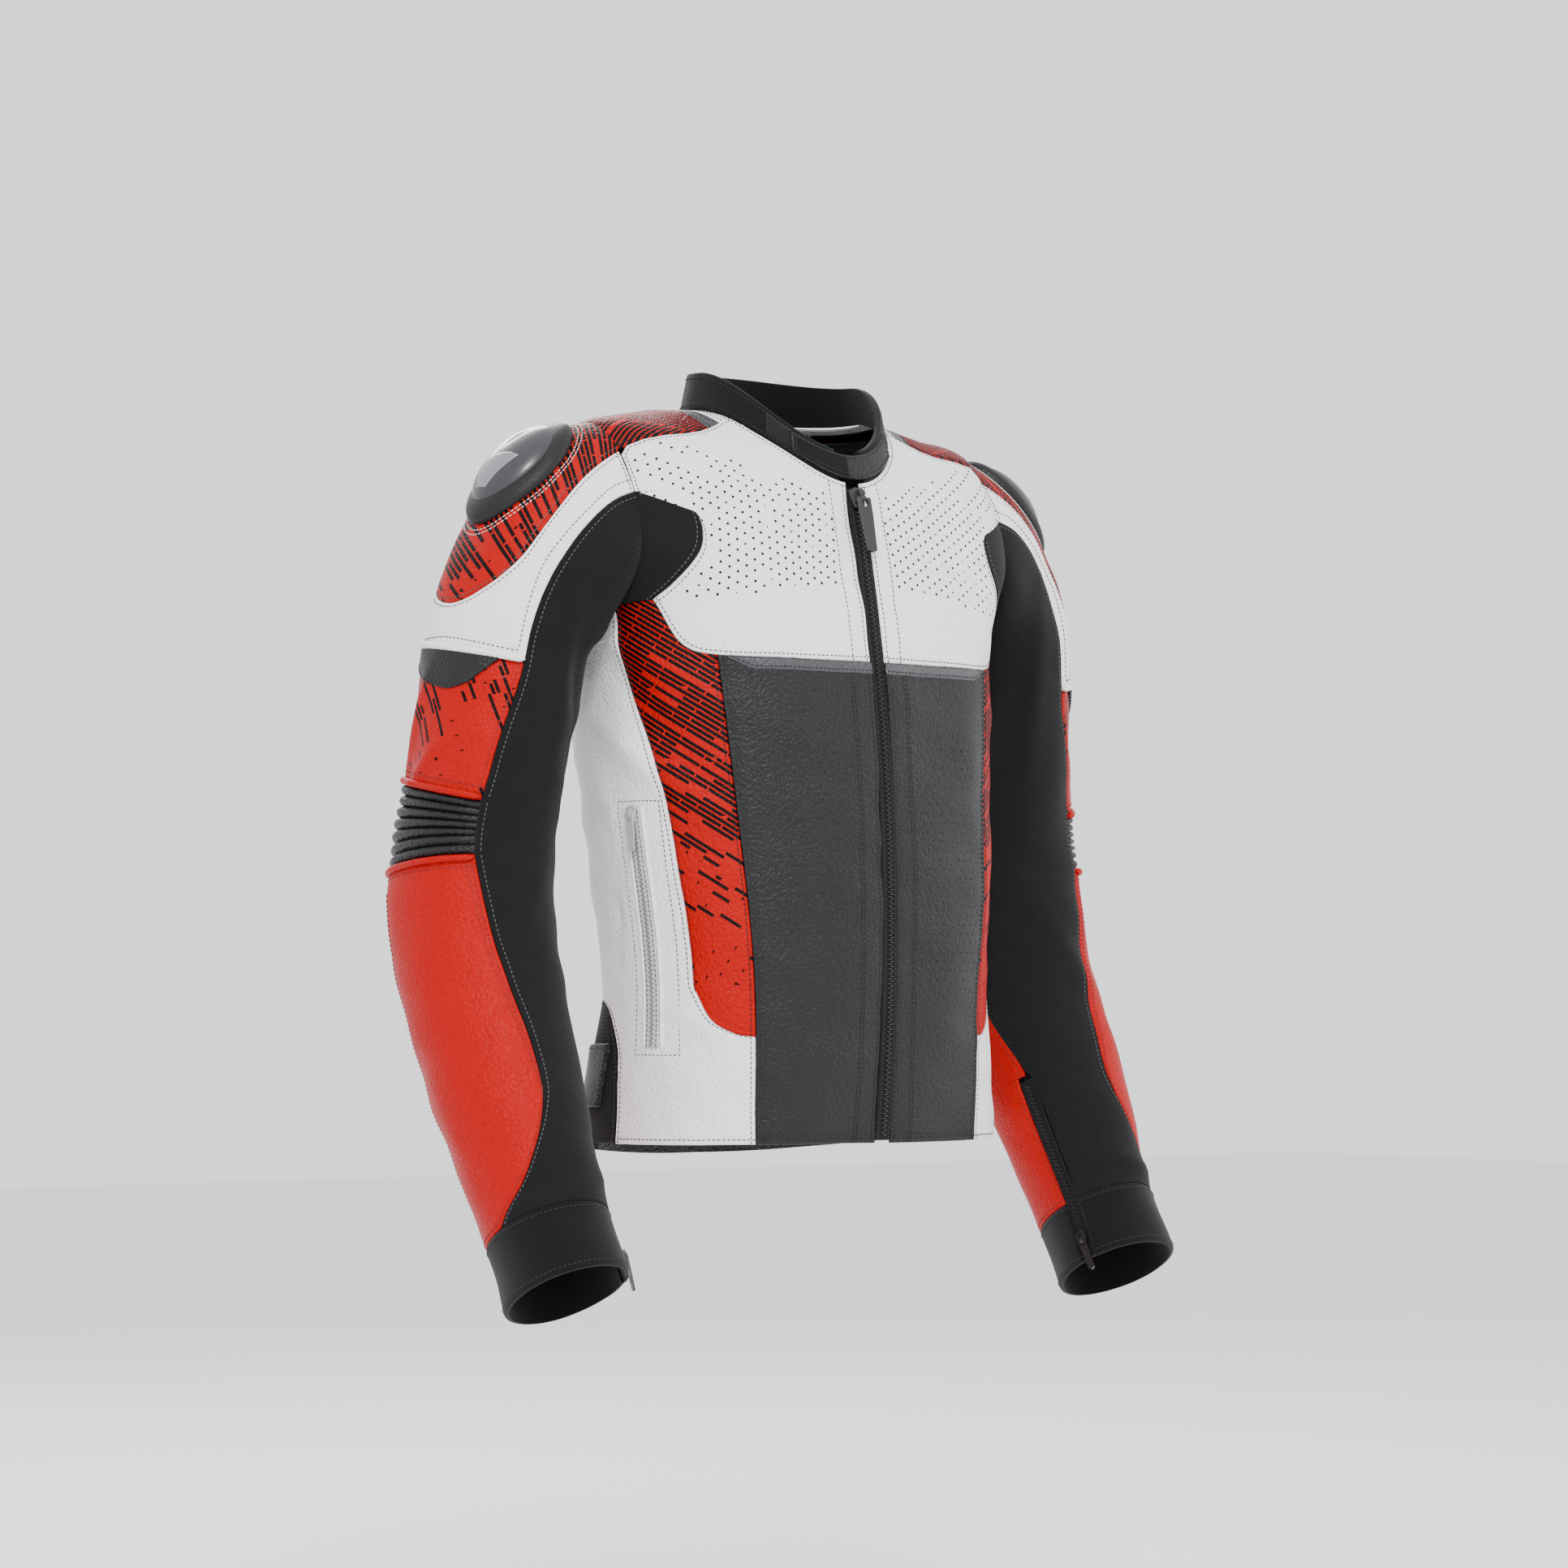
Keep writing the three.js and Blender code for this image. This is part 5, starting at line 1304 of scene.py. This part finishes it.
def insert_fill(a, b):
    """A slanting shield on the lower half of the shell."""
    left = (1 - b)[..., None] * np.array([-0.13, 0.58]) + b[..., None] * np.array([-0.27, 0.16])
    right = (1 - b)[..., None] * np.array([0.13, 0.58]) + b[..., None] * np.array([0.42, 0.0])
    xy = left * (1 - a)[..., None] + right * a[..., None]
    return oval(xy[..., 0], xy[..., 1] + 0.16 * (a - 0.5) ** 2 * b)


for side in SIDES:
    sign = sign_of(side)
    base, n, lift, shape = dome(ring_height, 0.55, 1.0)
    ring = cap_mesh(base, n, lift, -3.0, shape, hollow=True)
    base, n, lift, shape = dome(shell_height, 0.03, SHELL_EDGE)
    shell = cap_mesh(base, n, lift, 1.0, shape)
    o = piece(f"shoulder_cup_shell_{side}", [(*shell, SHELL)], sign)
    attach(o, f"upper_arm_{side}")
    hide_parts(f"shoulder_cup_{side}")

    g = lay(sleeve, insert_fill, lift=0.0, step=1.6, profile=flat, crease=0)
    x, y = g["p"] / CUP_TURN, (g["q"] - CUP_MID) / CUP_REACH
    phi = np.arctan2(y, x)
    rho = np.clip(np.hypot(x / egg(phi), y) / SHELL_EDGE, 0, 0.995)
    g["face"] = g["base"] + g["n"] * (shell_height(rho, x, y) + 1.3 + thin(g["d"]))[..., None]
    g["under"] = g["base"] + g["n"] * (shell_height(rho, x, y) - 1.0)[..., None]
    plate = piece(f"shoulder_cup_insert_{side}", [(*closed_sheet(g), INSERT)], sign)
    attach(plate, f"upper_arm_{side}")
    o = piece(f"shoulder_cup_ring_{side}", [(*ring, PADDED)], sign)
    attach(o, f"upper_arm_{side}")
    s = np.linspace(0, 2 * np.pi, 240)
    shapes = []
    for far in (1.09, 1.16):
        pq = oval(far * np.cos(s) * egg(s), far * np.sin(s))
        n = outward(sleeve, pq[:, 0], pq[:, 1])
        c = sleeve(pq[:, 0], pq[:, 1])
        c = c + n * (0.65 + folds(c * [sign, 1, 1]))[:, None]
        shapes.append((*capsules(*resample(c, n, PITCH, 0.5), STITCH, THREAD), WHITE_THREAD))
    o = piece(f"shoulder_cup_stitches_{side}", shapes, sign)
    bend_at_armhole(o, side)
print("cups made")

# %% [markdown]
# ## Inside
# The lining is a mesh vest and mesh sleeves that hang a few millimetres inside the leather. Foam armour lies in
# pockets at the shoulders, elbows and back, with grooves so that it bends.

# %% Linings
def lining_ring():
    """The vest: the body form sunk by 7.4 mm, and by 12 mm more under the shoulder line, cut off at the armholes
    and open at the front."""
    angle = np.linspace(4.5, 355.5, 190)
    v = np.linspace(0.012, 0.99, 110)
    P, Q = np.meshgrid(angle, v)
    base = body(P, Q)
    n = outward(body, P, Q)
    sag = 12 * np.exp(-(((Q - 0.925) / 0.05) ** 2))
    pts = base - n * (7.4 + sag)[..., None]
    out = (np.abs(pts[..., 0]) > 160) & (pts[..., 2] > 366)
    pts[..., 0] = np.where(out, np.sign(pts[..., 0]) * 160, pts[..., 0])
    at = np.arange(P.size).reshape(P.shape)
    faces = quads(at[:-1, :-1], at[:-1, 1:], at[1:, 1:], at[1:, :-1])
    faces = faces[~out.reshape(-1)[faces].all(1)]
    used, numbers = np.unique(faces, return_inverse=True)
    uv = np.stack([-np.radians(P) * 0.155, base[..., 2] / 1000], -1).reshape(-1, 2)[used]
    return pts.reshape(-1, 3)[used], numbers.reshape(-1, 4), uv


v, f, uv = lining_ring()
vest = piece("mesh_lining_made", [(v, f, MESH)], 1, uv)
wall = vest.modifiers.new("cloth thickness", "SOLIDIFY")
wall.thickness, wall.offset = 0.001, 0.0
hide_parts("mesh_lining")
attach(vest, "torso")

for side in SIDES:
    for part, t0, t1, bend in (("upper", 0.03, 0.36, bend_at_armhole), ("lower", 0.36, 0.915, bend_at_elbow)):
        P, Q = np.meshgrid(np.linspace(0, 360, 91), np.linspace(t0, t1, 60))
        base, n = sleeve(P, Q), outward(sleeve, P, Q)
        g = dict(a=P, b=Q, p=P, q=Q, base=base, n=n, face=base - 6.4 * n, under=base - 7.4 * n, form=sleeve)
        o = piece(f"sleeve_lining_{part}_{side}", [(*closed_sheet(g), MESH)], sign_of(side), chart(g))
        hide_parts(f"sleeve_lining_{side}")
        bend(o, side)
print("linings made")

# %% Armour
def grooved(g, cells):
    """Sinks both faces by 2.5 mm along lines that part the pad into cells, but not within 6 mm of its edge."""
    da, db = (np.abs((g[k] * n + 0.5) % 1 - 0.5) / n for k, n in zip("ab", cells))
    sink = 2.5 * np.maximum(np.exp(-((da / 0.012) ** 2)), np.exp(-((db / 0.012) ** 2))) * (g["d"] > 6)
    g["under"] = g["under"] + g["n"] * sink[..., None]
    g["face"] = g["face"] - g["n"] * sink[..., None]


def armour(name, form, fill, out, thick, body_name, side=None, cells=(4, 5)):
    """A foam pad of that thickness, its face sunk by out mm under the form."""
    g = lay(form, fill, lift=-out, thick=thick, profile=padded_edge, step=3.0, crease=0)
    grooved(g, cells)
    full = name if side is None else f"{name}_{side}"
    o = piece(f"{full}_made", [(*closed_sheet(g), FOAM)], sign_of(side), chart(g))
    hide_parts(full)
    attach(o, body_name)


armour("back_protector", body, span(152, 208, 0.14, 0.72), 10.4, 11, "torso", cells=(3, 9))
for side in SIDES:
    armour("shoulder_protector", sleeve, span(-44, 40, 0.04, 0.24), 10.0, 7, f"upper_arm_{side}", side)
    armour("elbow_protector", sleeve, span(-125, 5, 0.547, 0.77), 10.0, 7, f"forearm_{side}", side)
print("armour made")

# %% [markdown]
# ## Sliders and pulls
# The sliders and pulls keep the frame's own shapes, which are what the real ones are: small castings. They only
# need paint.

# %% Painting the frame's own castings
def paint(name, material):
    """Gives the frame's own solid a finish, and leaves its shape alone."""
    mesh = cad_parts[name].data
    mesh.materials.clear()
    mesh.materials.append(material)


paint("front_slider", SLIDER)
paint("front_pull", SLIDER)
for side in SIDES:
    paint(f"pocket_puller_{side}", WHITE_SLIDER)
    paint(f"cuff_puller_{side}", SLIDER)

# %% [markdown]
# ## Studio
# A pale floor, a pale world and three large soft lights, as for a catalogue. The camera stands about three metres
# off, a little to the wearer's right of the front, at chest height.

# %% Floor, light and camera
floor_material, tree, bsdf = finish("matt studio floor", Base_Color=(0.86, 0.86, 0.87, 1), Roughness=0.9)
me = bpy.data.meshes.new("studio_floor")
REACH, FLOOR = 9.0, -0.95  # metres: the floor's half width and its height in the frame
me.from_pydata([(x * REACH, y * REACH, 0) for x, y in ((-1, -1), (1, -1), (1, 1), (-1, 1))], [], [(0, 1, 2, 3)])
me.transform(Matrix.Translation((0, 0, FLOOR)))
me.materials.append(floor_material)
floor = bpy.data.objects.new("studio_floor", me)
bpy.context.scene.collection.objects.link(floor)

world = bpy.data.worlds.new("pale studio")
bpy.context.scene.world = world
world.use_nodes = True
world.node_tree.nodes["Background"].inputs["Color"].default_value = (0.93, 0.94, 0.96, 1)
world.node_tree.nodes["Background"].inputs["Strength"].default_value = 1.6


def lamp(name, place, size, watts, aim=(0, 0, -0.3)):
    data = bpy.data.lights.new(name, "AREA")
    data.shape, data.size, data.energy = "DISK", size, watts
    o = bpy.data.objects.new(name, data)
    o.location = place
    o.rotation_mode = "QUATERNION"
    o.rotation_quaternion = (Vector(aim) - Vector(place)).to_track_quat("-Z", "Y")
    bpy.context.scene.collection.objects.link(o)


lamp("key", (-1.5, -2.4, 1.9), 0.9, 105)
lamp("fill", (2.4, -1.6, 0.5), 1.8, 20)
lamp("rim", (0.8, 2.4, 1.6), 1.4, 60)

az, el, distance = math.radians(-36.7), math.radians(-2.8), 3.2
back = Vector((math.sin(az) * math.cos(el), -math.cos(az) * math.cos(el), math.sin(el)))
cam = bpy.data.objects.new("camera", bpy.data.cameras.new("camera"))
cam.data.lens, cam.data.sensor_width = 36 * 5415 / 1932, 36
right = (-back).cross(Vector((0, 0, 1))).normalized()
up = right.cross(-back)
target = Vector((0, 0, -0.25)) - 0.006 * right + 0.003 * up
cam.location = target + distance * back
cam.rotation_mode = "QUATERNION"
cam.rotation_quaternion = (-back).to_track_quat("-Z", "Y")
bpy.context.scene.collection.objects.link(cam)
bpy.context.scene.camera = cam
